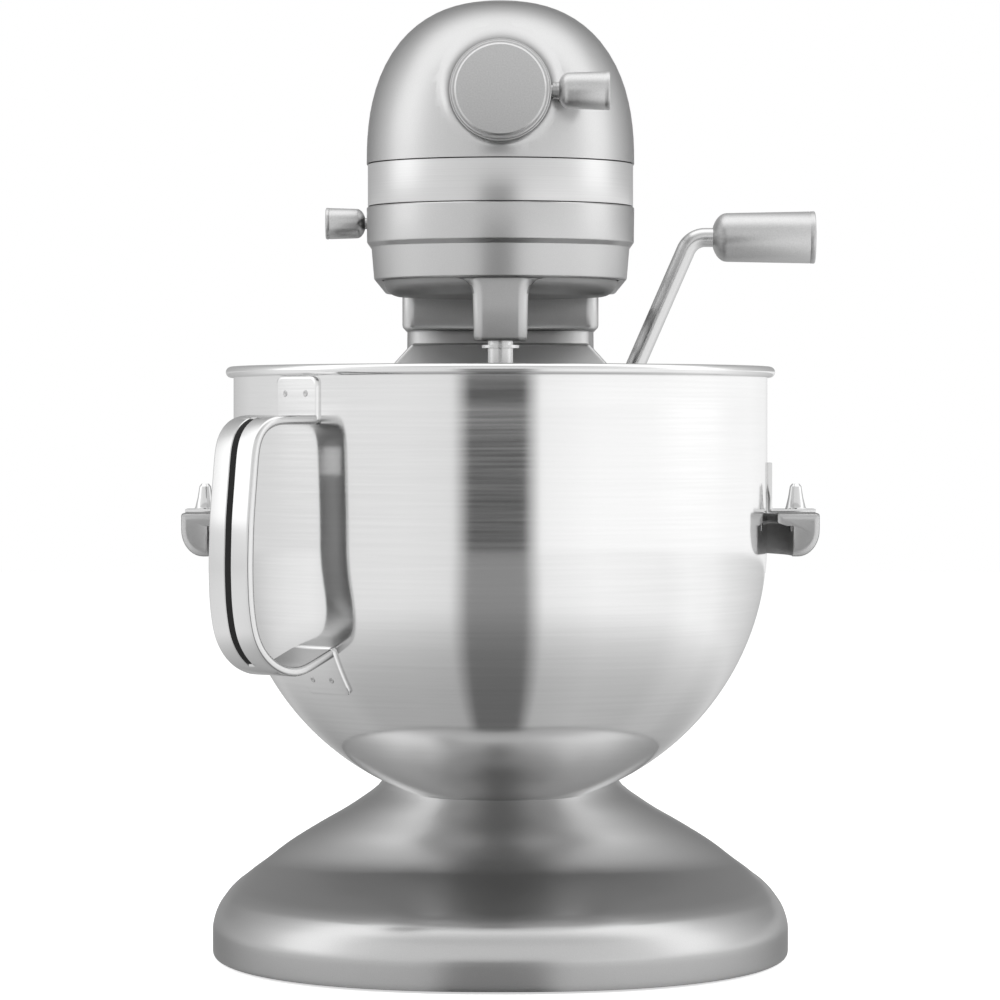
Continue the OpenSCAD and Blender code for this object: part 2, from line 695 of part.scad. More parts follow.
module shaft_collar() {
    color("silver") translate([0, -beater_offset, boss_bottom - collar_drop]) difference() {
        cylinder(r = 8, h = 1.3);
        translate([0, 0, -tiny]) cylinder(r = beater_r, h = 5);
    }
}

// ---------- Worm stage ----------
module wheel_shaft() {
    color("gray") translate([wheel_x, wheel_y, case_z + 1])
        cylinder(r = wheel_shaft_r, h = bracket_z + bracket_t_up - case_z - 1);
}
worm_lead = PI * worm_module * worm_starts;
worm_length = 20;
worm_slope = atan(worm_lead / (2 * PI * worm_r));
wheel_twist = wheel_face * tan(worm_slope) / wheel_pitch * 180 / PI;
module worm_wheel() {
    color("goldenrod") translate([wheel_x, wheel_y, motor_z - wheel_face / 2]) difference() {
        rotate(180 - wheel_twist / 2) translate([0, 0, wheel_face / 2]) linear_extrude(wheel_face, center = true,
            twist = -wheel_twist, slices = 2) polygon(gear_points(wheel_teeth,
            wheel_pitch - 1.3 * worm_module, wheel_pitch + 0.8 * worm_module, 0.56, 0.2));
        translate([0, 0, -tiny]) cylinder(r = wheel_shaft_r, h = 20);
    }
}
module drive_pinion() {
    color("gray") translate([wheel_x, wheel_y, spur_z - 0.4]) difference() {
        rotate(wheel_turn + 180 + 180 / drive_teeth) spur(drive_teeth, gear_module, gear_face);
        translate([0, 0, -tiny]) cylinder(r = wheel_shaft_r, h = 20);
    }
}
// Section across the worm: one lobe for each start
function worm_section() = [for (k = [0:worm_starts - 1], c = [[-0.13, 1], [0, 1], [0.13, 1], [0.27, 0],
    [0.38, 0], [0.5, 0], [0.62, 0], [0.73, 0]]) let (a = 360 / worm_starts * (k + c[0]),
    r = worm_r + (c[1] == 1 ? 0.8 : -1.3) * worm_module) r * [cos(a), sin(a)]];
module worm() {
    color("gray") translate([0, wheel_y, motor_z]) rotate([-90, 0, 0]) difference() {
        rotate(90 - 180 * worm_length / worm_lead) linear_extrude(worm_length, center = true,
            twist = -360 * worm_length / worm_lead,
            slices = 54, $fn = 8 * worm_starts) polygon(worm_section());
        translate([0, 0, -50]) cylinder(r = 4, h = 100);
    }
}

// ---------- Motor ----------
plate_t = 6;
front_plate_y = stator_y - 22;
rear_plate_y = stator_y + stator_length + 34;
shaft_front = wheel_y - worm_length / 2 - 3;
module armature_shaft() {
    color("gray") {
        rod_y(0, shaft_front, motor_z, 4, rear_plate_y + plate_t - shaft_front);
    }
}
module armature_core() {
    color("peru") difference() {
        union() {
            rod_y(0, stator_y + 2, motor_z, armature_r, stator_length - 4);
            rod_y(0, stator_y - 5, motor_z, armature_r - 7, stator_length + 10);
        }
        rod_y(0, 0, motor_z, 4, 300);
        for (k = [0:11]) translate([0, 0, motor_z]) rotate([0, 30 * k, 0])
            translate([-0.8, stator_y, armature_r - 3]) cube([1.6, stator_length, 5]);
    }
}
commutator_y = stator_y + stator_length + 8;
commutator_r = 13;
module commutator() {
    color("peru") difference() {
        rod_y(0, commutator_y, motor_z, commutator_r, 16);
        rod_y(0, 0, motor_z, 4, 300);
        for (k = [0:11]) translate([0, 0, motor_z]) rotate([0, 30 * k, 0])
            translate([-0.3, commutator_y - tiny, commutator_r - 1]) cube([0.6, 20, 3]);
    }
}
fan_y = stator_y - 14;
fan_r = 29;
module cooling_fan() {
    color("dimgray") difference() {
        union() {
            rod_y(0, fan_y, motor_z, 10, 7);
            for (k = [0:8]) translate([0, fan_y, motor_z]) rotate([0, 40 * k, 0])
                translate([-1, 0.6, 8]) cube([2, 5.8, fan_r - 8]);
        }
        rod_y(0, 0, motor_z, 4, 300);
    }
}
bolt_at = 29;
module stator() {
    color("gray") difference() {
        rod_y(0, stator_y, motor_z, stator_r, stator_length);
        rod_y(0, stator_y - tiny, motor_z, armature_r + 1, stator_length + 2 * tiny);
        for (sx = [-1, 1], sz = [-1, 1])
            rod_y(sx * bolt_at, stator_y - tiny, motor_z + sz * bolt_at * 0.55, 2.2, stator_length + 2 * tiny);
    }
}
coil_t = 6;
module field_coils() {
    color("peru") for (y = [stator_y - coil_t, stator_y + stator_length], turn = [0, 180])
        translate([0, y, motor_z]) rotate([-90, 0, 0]) rotate(turn + 55) rotate_extrude(angle = 70)
            translate([armature_r + 3, 0]) square([stator_r - armature_r - 6, coil_t]);
}
module motor_plates() {
    wide = head_half - head_wall - seat_gap;
    low = case_z + case_t;
    color("silver") {
        difference() {
            union() {
                rod_y(0, front_plate_y, motor_z, 17, plate_t);
                translate([-wide, front_plate_y, low]) cube([2 * wide, plate_t, 9]);
                translate([-12, front_plate_y, low]) cube([24, plate_t, motor_z - low]);
                for (sx = [-1, 1]) translate([sx * bolt_at - 5, front_plate_y, low]) cube([10, plate_t, motor_z + 20 - low]);
                translate([-bolt_at, front_plate_y, motor_z - 6]) cube([2 * bolt_at, plate_t, 12]);
            }
            rod_y(0, 0, motor_z, 4 + fit, 300);
            plate_bolt_holes();
        }
        difference() {
            union() {
                rod_y(0, rear_plate_y, motor_z, 17, plate_t);
                translate([-wide, rear_plate_y, case_z]) cube([2 * wide, plate_t, 12]);
                for (sx = [-1, 1]) translate([sx * bolt_at - 5, rear_plate_y, case_z]) cube([10, plate_t, motor_z + 20 - case_z]);
                translate([-bolt_at, rear_plate_y, motor_z - 6]) cube([2 * bolt_at, plate_t, 12]);
                translate([-6, rear_plate_y, motor_z]) cube([12, plate_t, cover_screw_z + 6 - motor_z]);
            }
            rod_y(0, 0, motor_z, 4 + fit, 300);
            rod_y(0, 100, cover_screw_z, 2.2, 200);
            plate_bolt_holes();
        }
    }
}
module plate_bolt_holes() {
    for (sx = [-1, 1], sz = [-1, 1]) rod_y(sx * bolt_at, 0, motor_z + sz * bolt_at * 0.55, 2.1, 300);
}
module motor_bolts() {
    color("gray") for (sx = [-1, 1], sz = [-1, 1]) translate([0, 0, sz * bolt_at * 0.55]) {
        rod_y(sx * bolt_at, front_plate_y, motor_z, 2, rear_plate_y + plate_t - front_plate_y);
        rod_y(sx * bolt_at, rear_plate_y + plate_t, motor_z, 4, 2.5);
    }
}
module carbon_brushes() {
    y = commutator_y + 8;
    color("dimgray") for (s = [-1, 1]) {
        translate([s > 0 ? commutator_r + gap : -commutator_r - gap - 12, y - 3, motor_z - 4]) cube([12, 6, 8]);
        translate([s > 0 ? commutator_r + 4 : -commutator_r - 24, y - 5, motor_z - 6]) difference() {
            cube([20, rear_plate_y - y + 5, 12]);
            translate([-1, 1.9, 1.9]) cube([22, 6.2, 8.2]);
        }
    }
}
module control_board() {
    y = rear_plate_y + plate_t;
    color("green") {
        translate([-38, y + 4, case_z + 6]) cube([76, 1.6, 30]);
        for (sx = [-1, 1]) translate([sx * 30 - 2.5, y, case_z + 9]) cube([5, 4, 3]);
        translate([-20, y + 5.6, case_z + 12]) cube([14, 8, 18]);
        rod_y(14, y + 5.6, case_z + 20, 7, 12);
    }
}
module cord_gland() {
    color("dimgray") difference() {
        union() {
            rod_y(0, column_back - cast_wall - 2, gland_z, gland_r, cast_wall + 5);
            rod_y(0, column_back, gland_z, gland_r + 3, 3);
        }
        rod_y(0, column_back - 20, gland_z, 3.6, 40);
    }
}

// ---------- Bowl lift ----------
crank_turn = lift_turn / 2;
crank_r = lift_travel / 2 / sin(crank_turn);
crank_pin_y = lift_y + crank_r * cos(crank_turn);
crank_pin_z = lift_z + crank_r * sin(crank_turn);
link_length = 30;
link_x = 5;
link_pin_r = 3;
// The carriage's pin sits in the middle of the eye's sway, and the eye is open enough for it
eye_sway = crank_r * (1 - cos(crank_turn)) / 2;
eye_r = link_pin_r + eye_sway + 0.7;
carriage_pin_y = crank_pin_y + eye_sway;
carriage_pin_z = crank_pin_z - link_length;
lever_x = column_half + 4.5;
boss_x = column_half + gap + 1;
boss_bore = 5;
module lift_bushes() {
    color("goldenrod") for (s = [-1, 1]) difference() {
        rod_x(s > 0 ? column_half - cast_wall - 1 : -column_half - 1, lift_y, lift_z, bush_r, cast_wall + 2);
        rod_x(-80, lift_y, lift_z, lift_r + fit, 160);
    }
}
module lift_shaft() {
    color("gray") {
        rod_x(-column_half, lift_y, lift_z, lift_r, boss_x + boss_bore + column_half);
        translate([-4, lift_y, lift_z]) rotate([crank_turn, 0, 0]) {
            translate([0, 0, -5]) cube([6, crank_r, 10]);
            rotate([0, 90, 0]) cylinder(r = 9, h = 6);
            translate([0, crank_r, 0]) rotate([0, 90, 0]) cylinder(r = 6, h = 6);
        }
        rod_x(-4, crank_pin_y, crank_pin_z, link_pin_r, 14);
    }
}
module lift_link() {
    color("gray") difference() {
        union() {
            rod_x(link_x, crank_pin_y, crank_pin_z, 6.5, 4);
            rod_x(link_x, crank_pin_y, carriage_pin_z, eye_r + 2.5, 4);
            translate([link_x, crank_pin_y - 4, crank_pin_z - link_length + 8]) cube([4, 8, link_length - 12]);
        }
        rod_x(0, crank_pin_y, crank_pin_z, link_pin_r + fit, 20);
        rod_x(0, crank_pin_y, carriage_pin_z, eye_r, 20);
    }
}
// Bent rod from the column's side up to the grip
bend_r = 10;
rod_rise = grip_z - lift_z;
module lift_rod() {
    turn = 90 - rod_lean;
    reach = bend_r * tan(turn / 2);
    corner_x = lever_x + rod_rise * tan(rod_lean);
    straight = rod_rise / cos(rod_lean) - reach;
    color("silver") difference() {
        union() {
            rod_x(boss_x, lift_y, lift_z, 8, boss_bore + 3);
            translate([lever_x, lift_y, lift_z]) rotate([0, rod_lean, 0]) cylinder(r = rod_r, h = straight + tiny);
            // the bend is a hair thicker than the straight rods that end in it
            translate([corner_x + reach, lift_y, grip_z - bend_r]) rotate([90, 0, 0]) rotate([0, 0, 90])
                rotate_extrude(angle = turn) translate([bend_r, 0]) circle(r = rod_r + fit, $fn = 32);
            rod_x(corner_x + reach - tiny, lift_y, grip_z, rod_r, grip_x - corner_x - reach + 12 + tiny);
        }
        rod_x(0, lift_y, lift_z, lift_r, boss_x + boss_bore);
    }
}
grip_x = lever_x + rod_rise * tan(rod_lean) + 9.5;
module lift_grip() {
    color("silver") difference() {
        translate([grip_x, lift_y, grip_z]) knob(grip_r, grip_length);
        rod_x(grip_x - 5, lift_y, grip_z, rod_r, 17.1);
    }
}

rail_x = 30;
plate_back = column_front - 8;
module guide_rails() {
    low = tongue_z - lift_travel - 10;
    color("gray") difference() {
        for (s = [-1, 1]) translate([s * rail_x - 4, plate_back + gap, low])
            cube([8, column_front - plate_back - gap + 8, column_top - 6 - low]);
        loft(skin(0));
    }
}
arm_lip = 6.7;
arm_slab = 4.2;
arm_corner = arm_out - arm_in - arm_lip - 1.5;
function arm_section() = concat([[arm_in, arm_top], [arm_in, arm_top - arm_slab], [arm_in + arm_lip, arm_top - arm_slab],
    [arm_in + arm_lip, arm_top - arm_depth]], [for (a = [-90:15:0]) [arm_out - arm_corner + arm_corner * cos(a),
    arm_top - arm_depth + arm_corner + arm_corner * sin(a)]], [[arm_out, arm_top]]);
arm_swing = 6;
plate_front = arm_in + 2.5;
plate_half = column_half + 16;
plate_slope = 21;    // drop of the plate's sloping shoulders
pin_seat = 8;        // depth of a locating pin's stem in the arm
module bowl_yoke() {
    color("silver") {
        difference() {
            union() {
                difference() {
                    rotate(-arm_swing) rotate_extrude(angle = 180 + 2 * arm_swing, $fn = 96) polygon(arm_section());
                    translate([-arm_out, plate_back, 0]) cube([2 * arm_out, arm_out, 2 * yoke_top]);
                }
                translate([0, plate_back, 0]) rotate([90, 0, 0]) linear_extrude(plate_back - plate_front)
                    polygon([[-plate_half, arm_top - arm_depth], [plate_half, arm_top - arm_depth],
                        [plate_half, yoke_top - plate_slope], [column_half - 3, yoke_top],
                        [3 - column_half, yoke_top], [-plate_half, yoke_top - plate_slope]]);
                translate([gap + 4 - rail_x, plate_back - 1, arm_top - 10])
                    cube([2 * (rail_x - 4 - gap), column_front - gap - plate_back + 1, yoke_top - arm_top + 10]);
                translate([gap - slot_half, plate_back - 1, tongue_z])
                    cube([2 * (slot_half - gap), 20, tongue_height]);
                // side bar under the lift shaft, with the pin for the link's eye
                translate([link_x + 4.4, column_front + 2, tongue_z])
                    cube([slot_half - gap - link_x - 4.4, carriage_pin_y - column_front + 3,
                        lift_z - lift_r - 1 - tongue_z]);
                rod_x(link_x - 2, carriage_pin_y, carriage_pin_z, link_pin_r, 9);
            }
            for (s = [-1, 1]) translate([s * pin_x, 0, arm_top - pin_seat]) cylinder(r = 3, h = 2 * pin_seat);
        }
    }
}
pin_x = (arm_in + arm_out) / 2 - 1;
module locating_pins() {
    color("silver") for (s = [-1, 1]) translate([s * pin_x, 0, arm_top - pin_seat]) {
        cylinder(r = 3, h = pin_seat);
        translate([0, 0, pin_seat]) cylinder(r = pin_r, h = bracket_t);
        translate([0, 0, pin_seat + bracket_t]) cylinder(r1 = pin_r, r2 = pin_r * 0.52, h = pin_height);
    }
}

// ---------- Bowl ----------
wall_fn = 240;
inner_r = bowl_r - bowl_wall;
module bowl() {
    color("silver") {
        difference() {
            union() {
                translate([0, 0, bowl_centre]) cylinder(r = bowl_r, h = bowl_top - 2 * bead_r - bowl_centre, $fn = 128);
                intersection() {
                    translate([0, 0, bowl_centre]) sphere(r = bowl_r, $fn = 128);
                    translate([0, 0, bowl_bottom]) cylinder(r = 2 * bowl_r, h = bowl_centre - bowl_bottom);
                }
            }
            translate([0, 0, bowl_centre]) cylinder(r = inner_r, h = bowl_top, $fn = 128);
            intersection() {
                translate([0, 0, bowl_centre]) sphere(r = inner_r, $fn = 128);
                translate([0, 0, bowl_bottom + bowl_wall]) cylinder(r = 2 * bowl_r, h = 2 * bowl_r);
            }
        }
        translate([0, 0, bowl_top - bead_r]) rotate_extrude($fn = 128) {
            translate([bowl_r + bead_r * 0.4, 0]) circle(r = bead_r, $fn = 32);
        }
        translate([0, 0, bowl_top - 3 * bead_r]) difference() {
            cylinder(r = bowl_r, h = 2 * bead_r, $fn = 128);
            translate([0, 0, -tiny]) cylinder(r = inner_r, h = 20, $fn = 128);
        }
    }
}

// Path of the handle strap's middle line in its own upright plane: distance from the bowl's axis, height.
// It runs out from the wall, turns down, comes back in under the hand and ends on the wall.
function arc(c, r, a0, a1, n) = [for (i = [0:n]) let (a = a0 + (a1 - a0) * i / n) [c[0] + r * cos(a), c[1] + r * sin(a)]];
function wall_at(z) = z > bowl_centre ? bowl_r : sqrt(pow(bowl_r, 2) - pow(bowl_centre - z, 2));
strap_mid = bowl_r + handle_reach - strap_t / 2;
top_corner = 13;
low_corner = 24;
strap_path = concat(
    [[bowl_r + 1, handle_top]],
    arc([strap_mid - top_corner - 3.5, handle_top - top_corner], top_corner, 90, 8, 6),
    [[strap_mid - 0.6, handle_top - 42], [strap_mid, handle_top - 62], [strap_mid - 0.6, handle_top - 78]],
    arc([strap_mid - low_corner - 1.5, handle_low + low_corner + 1], low_corner, 0, -96, 7),
    [[wall_at(handle_low + 9) + 0.5, handle_low + 8.5]]);
// Strip of thickness t on a path, moved d to its outer side
function unit(v) = v / norm(v);
function side(p, i) = let (a = p[max(i - 1, 0)], b = p[min(i + 1, len(p) - 1)], u = unit(b - a)) [-u.y, u.x];
function moved(p, d) = [for (i = [0:len(p) - 1]) p[i] + d * side(p, i)];
module strip(p, d, t, width) {
    translate([0, width / 2, 0]) rotate([90, 0, 0]) linear_extrude(width)
        polygon(concat(moved(p, d + t / 2), backwards(moved(p, d - t / 2))));
}
module at_handle() { rotate(180 + 90 - handle_turn) children(); }
handle_plate_t = 1.6;
module bowl_handle() {
    color("silver") at_handle() difference() {
        union() {
            strip(strap_path, 0, strap_t, strap_width);
            // upper plate, spot-welded to the wall
            intersection() {
                translate([bowl_r - 25, -strap_width / 2, handle_top - 2]) cube([60, strap_width, 20]);
                difference() {
                    translate([0, 0, handle_top - 30]) cylinder(r = bowl_r + handle_plate_t, h = 60);
                    cylinder(r = bowl_r, h = 400);
                }
            }
            // lower plate, following the round of the bowl
            intersection() {
                translate([bowl_r * 0.6, -strap_width / 2, handle_low - 9]) cube([60, strap_width, 20]);
                translate([0, 0, bowl_centre]) difference() {
                    sphere(r = bowl_r + handle_plate_t);
                    sphere(r = bowl_r);
                }
            }
        }
        translate([0, 0, bowl_centre]) sphere(r = bowl_r);
        translate([0, 0, bowl_centre]) cylinder(r = bowl_r, h = 200);
        strip(groove_path, strap_t / 2, 2 * groove_depth, insert_width);
    }
}
groove_depth = 1.2;
groove_path = [for (i = [3:len(strap_path) - 5]) strap_path[i]];
module handle_insert() {
    color("black") at_handle() strip(groove_path, strap_t / 2 - groove_depth / 2, groove_depth, insert_width);
}
bracket_half = 9;
bracket_rise = 22;
module bowl_brackets() {
    color("silver") for (s = [0, 180]) rotate(s) difference() {
        union() {
            difference() {
                translate([bowl_r / 2, -bracket_half, arm_top])
                    cube([bowl_r / 2 + bracket_t, 2 * bracket_half, bracket_rise]);
                translate([0, 0, arm_top - 1]) cylinder(r = bowl_r, h = 60, $fn = wall_fn);
            }
            translate([bowl_r, -bracket_half, arm_top]) cube([arm_out - 2 - bowl_r, 2 * bracket_half, bracket_t]);
        }
        translate([0, 0, arm_top - 1]) cylinder(r = bowl_r, h = 60, $fn = wall_fn);
        translate([pin_x, 0, arm_top - 1]) cylinder(r = pin_r + gap, h = 20);
    }
}
module bowl_clip() {
    color("silver") difference() {
        translate([-8, bowl_r - 16, arm_top + 12]) cube([16, plate_front - gap - bowl_r + 16, 14]);
        cylinder(r = bowl_r, h = 400, $fn = wall_fn);
        translate([-20, bowl_r + 2, arm_top + 10]) cube([40, 20, 11]);
    }
}

// Bent leaf of spring steel on the back plate, under the lip of the bowl's clip
module bowl_spring() {
    y = plate_front;
    z = arm_top + 3;
    path = [[y - 0.4, z], [y - 0.4, z + 8], [y - 3.2, z + 13.5], [y - 3.2, z + 15], [y - 1.2, z + 17.4]];
    color("gray") translate([-6, 0, 0]) rotate([90, 0, 90]) linear_extrude(12)
        polygon(concat(moved(path, 0.4), backwards(moved(path, -0.4))));
}

pedestal();
bottom_plate();
rubber_feet();
bottom_screws();
lower_housing();
trim_band();
upper_housing();
rear_cover();
rear_cover_screw();
gear_case();
case_screws();
ring_gear();
gear_bracket();
shaft_bushes();
hub_socket();
stator();
field_coils();
motor_plates();
motor_bolts();
carbon_brushes();
control_board();
cord_gland();
lift_bushes();
guide_rails();
centre_shaft();
centre_gear();
centre_bevel();
planetary();
planetary_pin();
beater_shaft();
beater_pinion();
beater_pin();
shaft_collar();
wheel_shaft();
worm_wheel();
drive_pinion();
armature_shaft();
armature_core();
commutator();
worm();
cooling_fan();
hub_gear();
hub_drive_shaft();
hub_cover();
attachment_screw();
attachment_knob();
speed_slider();
speed_knob();
lift_shaft();
lift_rod();
lift_grip();
lift_link();
bowl_yoke();
locating_pins();
bowl_spring();
bowl();
bowl_handle();
handle_insert();
bowl_brackets();
bowl_clip();
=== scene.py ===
import bpy
import bmesh
import math
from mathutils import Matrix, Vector


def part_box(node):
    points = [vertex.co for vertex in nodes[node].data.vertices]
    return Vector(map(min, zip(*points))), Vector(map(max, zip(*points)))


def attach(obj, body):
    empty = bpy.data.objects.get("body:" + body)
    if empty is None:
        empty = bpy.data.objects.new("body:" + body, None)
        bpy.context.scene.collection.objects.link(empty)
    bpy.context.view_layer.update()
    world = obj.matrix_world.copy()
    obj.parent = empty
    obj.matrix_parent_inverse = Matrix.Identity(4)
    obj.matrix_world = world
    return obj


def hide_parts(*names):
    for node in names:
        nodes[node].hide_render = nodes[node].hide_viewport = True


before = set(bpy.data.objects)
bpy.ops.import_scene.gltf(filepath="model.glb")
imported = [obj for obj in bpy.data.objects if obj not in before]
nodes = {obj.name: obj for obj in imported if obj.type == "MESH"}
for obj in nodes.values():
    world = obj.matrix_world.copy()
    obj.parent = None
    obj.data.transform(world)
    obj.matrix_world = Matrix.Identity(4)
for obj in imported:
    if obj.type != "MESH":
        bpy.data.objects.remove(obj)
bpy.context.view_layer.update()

# --- Studio ---------------------------------------------------------------------------------
# A white sweep with the mixer standing on it. Soft cards of light stand all round and over it,
# with a dark gap between them in front, which the polished steel shows as a dark stripe.


def fill(node, inputs):
    """Gives each named input of a shader node its value, or links it to another node's output."""
    for name, value in inputs.items():
        if isinstance(value, bpy.types.NodeSocket):
            node.id_data.links.new(value, node.inputs[name])
        else:
            node.inputs[name].default_value = value
    return node


def node_of(tree, kind, inputs=None, **settings):
    made = tree.nodes.new(kind)
    for name, value in settings.items():
        setattr(made, name, value)
    return fill(made, inputs or {})


def combined(tree, operation, first, second):
    """One sum worked out from two numbers of a shader tree."""
    return node_of(tree, "ShaderNodeMath", {0: first, 1: second}, operation=operation).outputs[0]


def bare_material(name):
    made = bpy.data.materials.new(name)
    made.use_nodes = True
    made.node_tree.nodes.clear()
    return made


def stage_mesh(name, points, faces, material):
    mesh = bpy.data.meshes.new(name)
    mesh.from_pydata(points, [], faces)
    mesh.materials.append(material)
    made = bpy.data.objects.new(name, mesh)
    bpy.context.scene.collection.objects.link(made)
    return made


def seen_white(tree):
    """1 for a ray that should meet the white of the sweep: from the camera, in metal or glass."""
    ray = node_of(tree, "ShaderNodeLightPath").outputs
    direct = combined(tree, "MAXIMUM", ray["Is Camera Ray"], ray["Is Glossy Ray"])
    return combined(tree, "MAXIMUM", direct, ray["Is Transmission Ray"])


def mixed(tree, share, first, second):
    return node_of(tree, "ShaderNodeMixShader", {0: share, 1: first.outputs[0], 2: second.outputs[0]})


world = bpy.data.worlds.new("studio_world")
bpy.context.scene.world = world
world.use_nodes = True
tree = world.node_tree
tree.nodes.clear()
room_light = node_of(tree, "ShaderNodeBackground", {"Color": (1, 1, 1, 1), "Strength": 0.55})
white = node_of(tree, "ShaderNodeBackground", {"Color": (1, 1, 1, 1), "Strength": 1.0})
sky = mixed(tree, seen_white(tree), room_light, white)
node_of(tree, "ShaderNodeOutputWorld", {0: sky.outputs[0]})

floor_paint = bare_material("sweep_white")
tree = floor_paint.node_tree
matt = node_of(tree, "ShaderNodeBsdfDiffuse", {"Color": (0.86, 0.86, 0.86, 1)})
glow = node_of(tree, "ShaderNodeEmission", {"Strength": 0.6})
lit = node_of(tree, "ShaderNodeAddShader", {0: matt.outputs[0], 1: glow.outputs[0]})
floor_skin = mixed(tree, seen_white(tree), matt, lit)
node_of(tree, "ShaderNodeOutputMaterial", {0: floor_skin.outputs[0]})
floor_half = 6.0
floor_corners = [(-floor_half, -floor_half, 0), (floor_half, -floor_half, 0),
                 (floor_half, floor_half, 0), (-floor_half, floor_half, 0)]
stage_mesh("sweep_floor", floor_corners, [(0, 1, 2, 3)], floor_paint)

# The cards are seen only in metal. Each row of tones goes by direction in degrees: the side and
# floor cards from the front round to the right, the top card from the front up and over.
side_tones = [(-180, 0.42), (-158, 0.62), (-134, 0.80), (-101, 0.86), (-72, 0.9), (-40, 0.92), (-20, 0.88),
              (-12.5, 0.06), (9.5, 0.06), (17, 1.1), (40, 1.2), (101, 1.2), (134, 1.15), (158, 1.0),
              (180, 0.62)]
high_tones = [(-180, 0.38), (-158, 0.48), (-134, 0.62), (-114, 0.86), (-101, 1.5), (-84, 1.6), (-66, 1.0),
              (-40, 0.9), (0, 0.86), (40, 0.9), (66, 1.0), (84, 1.6), (101, 1.5), (114, 0.88), (134, 0.64),
              (158, 0.48), (180, 0.38)]
floor_tones = [(-180, 0.42), (-158, 0.52), (-134, 0.66), (-114, 0.86), (-101, 0.95), (-86, 1.0), (-72, 0.92),
               (-40, 0.92), (-20, 0.88), (-12.5, 0.3), (9.5, 0.3), (17, 1.0), (40, 1.1), (72, 1.05),
               (86, 1.12), (101, 1.08), (114, 0.95), (134, 0.8), (158, 0.62), (180, 0.42)]
top_tones = [(30, 0.55), (60, 0.8), (80, 1.55), (105, 1.55), (125, 0.7), (150, 0.42)]
brightest = 1.6
fade_near, fade_far = 0.12, 0.5
rim_level, dome_level = 0.30, 0.38


def ramp_of(tree, angle, low, high, tones):
    """Brightness by direction: an angle in radians looked up in a row of (degrees, tone)."""
    share = node_of(tree, "ShaderNodeMapRange",
                    {"Value": angle, "From Min": math.radians(low), "From Max": math.radians(high)})
    ramp = node_of(tree, "ShaderNodeValToRGB", {0: share.outputs[0]})
    stops = ramp.color_ramp.elements
    while len(stops) > 1:
        stops.remove(stops[0])
    for i, (degrees, tone) in enumerate(tones):
        place = (degrees - low) / (high - low)
        stop = stops.new(place) if i else stops[0]
        stop.position = place
        stop.color = (tone / brightest,) * 3 + (1,)
    return ramp.outputs[0]


def card_light(name, across, low, high, tones, near_tone=1.0, upper_tones=None):
    """Glowing card: its tone goes by the angle between the front and a point, turned towards the
    axis named across. Upper tones, where given, take over above the height of the bowl's rim."""
    made = bare_material(name)
    tree = made.node_tree
    at = node_of(tree, "ShaderNodeTexCoord").outputs["Object"]
    split = node_of(tree, "ShaderNodeSeparateXYZ", {0: at}).outputs
    front = combined(tree, "MULTIPLY", split["Y"], -1)
    turn = combined(tree, "ARCTAN2", split[across], front)
    far = node_of(tree, "ShaderNodeVectorMath", {0: at}, operation="LENGTH").outputs["Value"]
    fade = node_of(tree, "ShaderNodeMapRange",
                   {"Value": far, "From Min": fade_near, "From Max": fade_far, "To Min": near_tone},
                   interpolation_type="SMOOTHSTEP")
    tone = ramp_of(tree, turn, low, high, tones)
    if upper_tones:
        height = node_of(tree, "ShaderNodeMapRange",
                         {"Value": split["Z"], "From Min": rim_level, "From Max": dome_level},
                         interpolation_type="SMOOTHSTEP")
        upper = ramp_of(tree, turn, low, high, upper_tones)
        tone = node_of(tree, "ShaderNodeMix", {"Factor": height.outputs[0], "A": tone, "B": upper},
                       data_type="RGBA").outputs["Result"]
    shine = node_of(tree, "ShaderNodeEmission",
                    {"Color": tone, "Strength": combined(tree, "MULTIPLY", fade.outputs[0], brightest)})
    node_of(tree, "ShaderNodeOutputMaterial", {0: shine.outputs[0]})
    return made


def soft_card(name, points, faces, material):
    card = stage_mesh(name, points, faces, material)
    for ray in ("camera", "diffuse", "shadow", "volume_scatter"):
        setattr(card, "visible_" + ray, False)


card_r, card_low, card_top, card_sides = 3.4, 0.0008, 2.6, 96
card_turns = [2 * math.pi * i / card_sides for i in range(card_sides)]
circle = [(card_r * math.sin(a), -card_r * math.cos(a)) for a in card_turns]
wall_faces = [(i, (i + 1) % card_sides, card_sides + (i + 1) % card_sides, card_sides + i)
              for i in range(card_sides)]
soft_card("side_cards", [(x, y, z) for z in (card_low, card_top) for x, y in circle], wall_faces,
          card_light("side_card_light", "X", -180, 180, side_tones, 1.0, high_tones))
soft_card("top_card", [(x, y, card_top) for x, y in circle], [tuple(range(card_sides))],
          card_light("top_card_light", "Z", 0, 180, top_tones))
soft_card("floor_card", [(x, y, card_low) for x, y in circle], [tuple(range(card_sides))],
          card_light("floor_card_light", "X", -180, 180, floor_tones, 0.5))


def soft_lamp(name, at, towards, size, watts):
    lamp = bpy.data.lights.new(name, "AREA")
    lamp.shape = "RECTANGLE"
    lamp.size, lamp.size_y = size
    lamp.energy = watts
    made = bpy.data.objects.new(name, lamp)
    made.location = at
    made.rotation_mode = "QUATERNION"
    made.rotation_quaternion = (Vector(towards) - Vector(at)).to_track_quat("-Z", "Y")
    bpy.context.scene.collection.objects.link(made)
    made.visible_glossy = False


bowl_middle, head_middle = (0, 0.05, 0.22), (0, 0.05, 0.3)
soft_lamp("left_lamp", (-1.9, -0.5, 0.9), bowl_middle, (0.9, 1.8), 26)
soft_lamp("right_lamp", (1.9, -0.5, 0.9), bowl_middle, (0.9, 1.8), 28)
soft_lamp("top_lamp", (0, 0.1, 2.1), head_middle, (1.6, 1.6), 16)

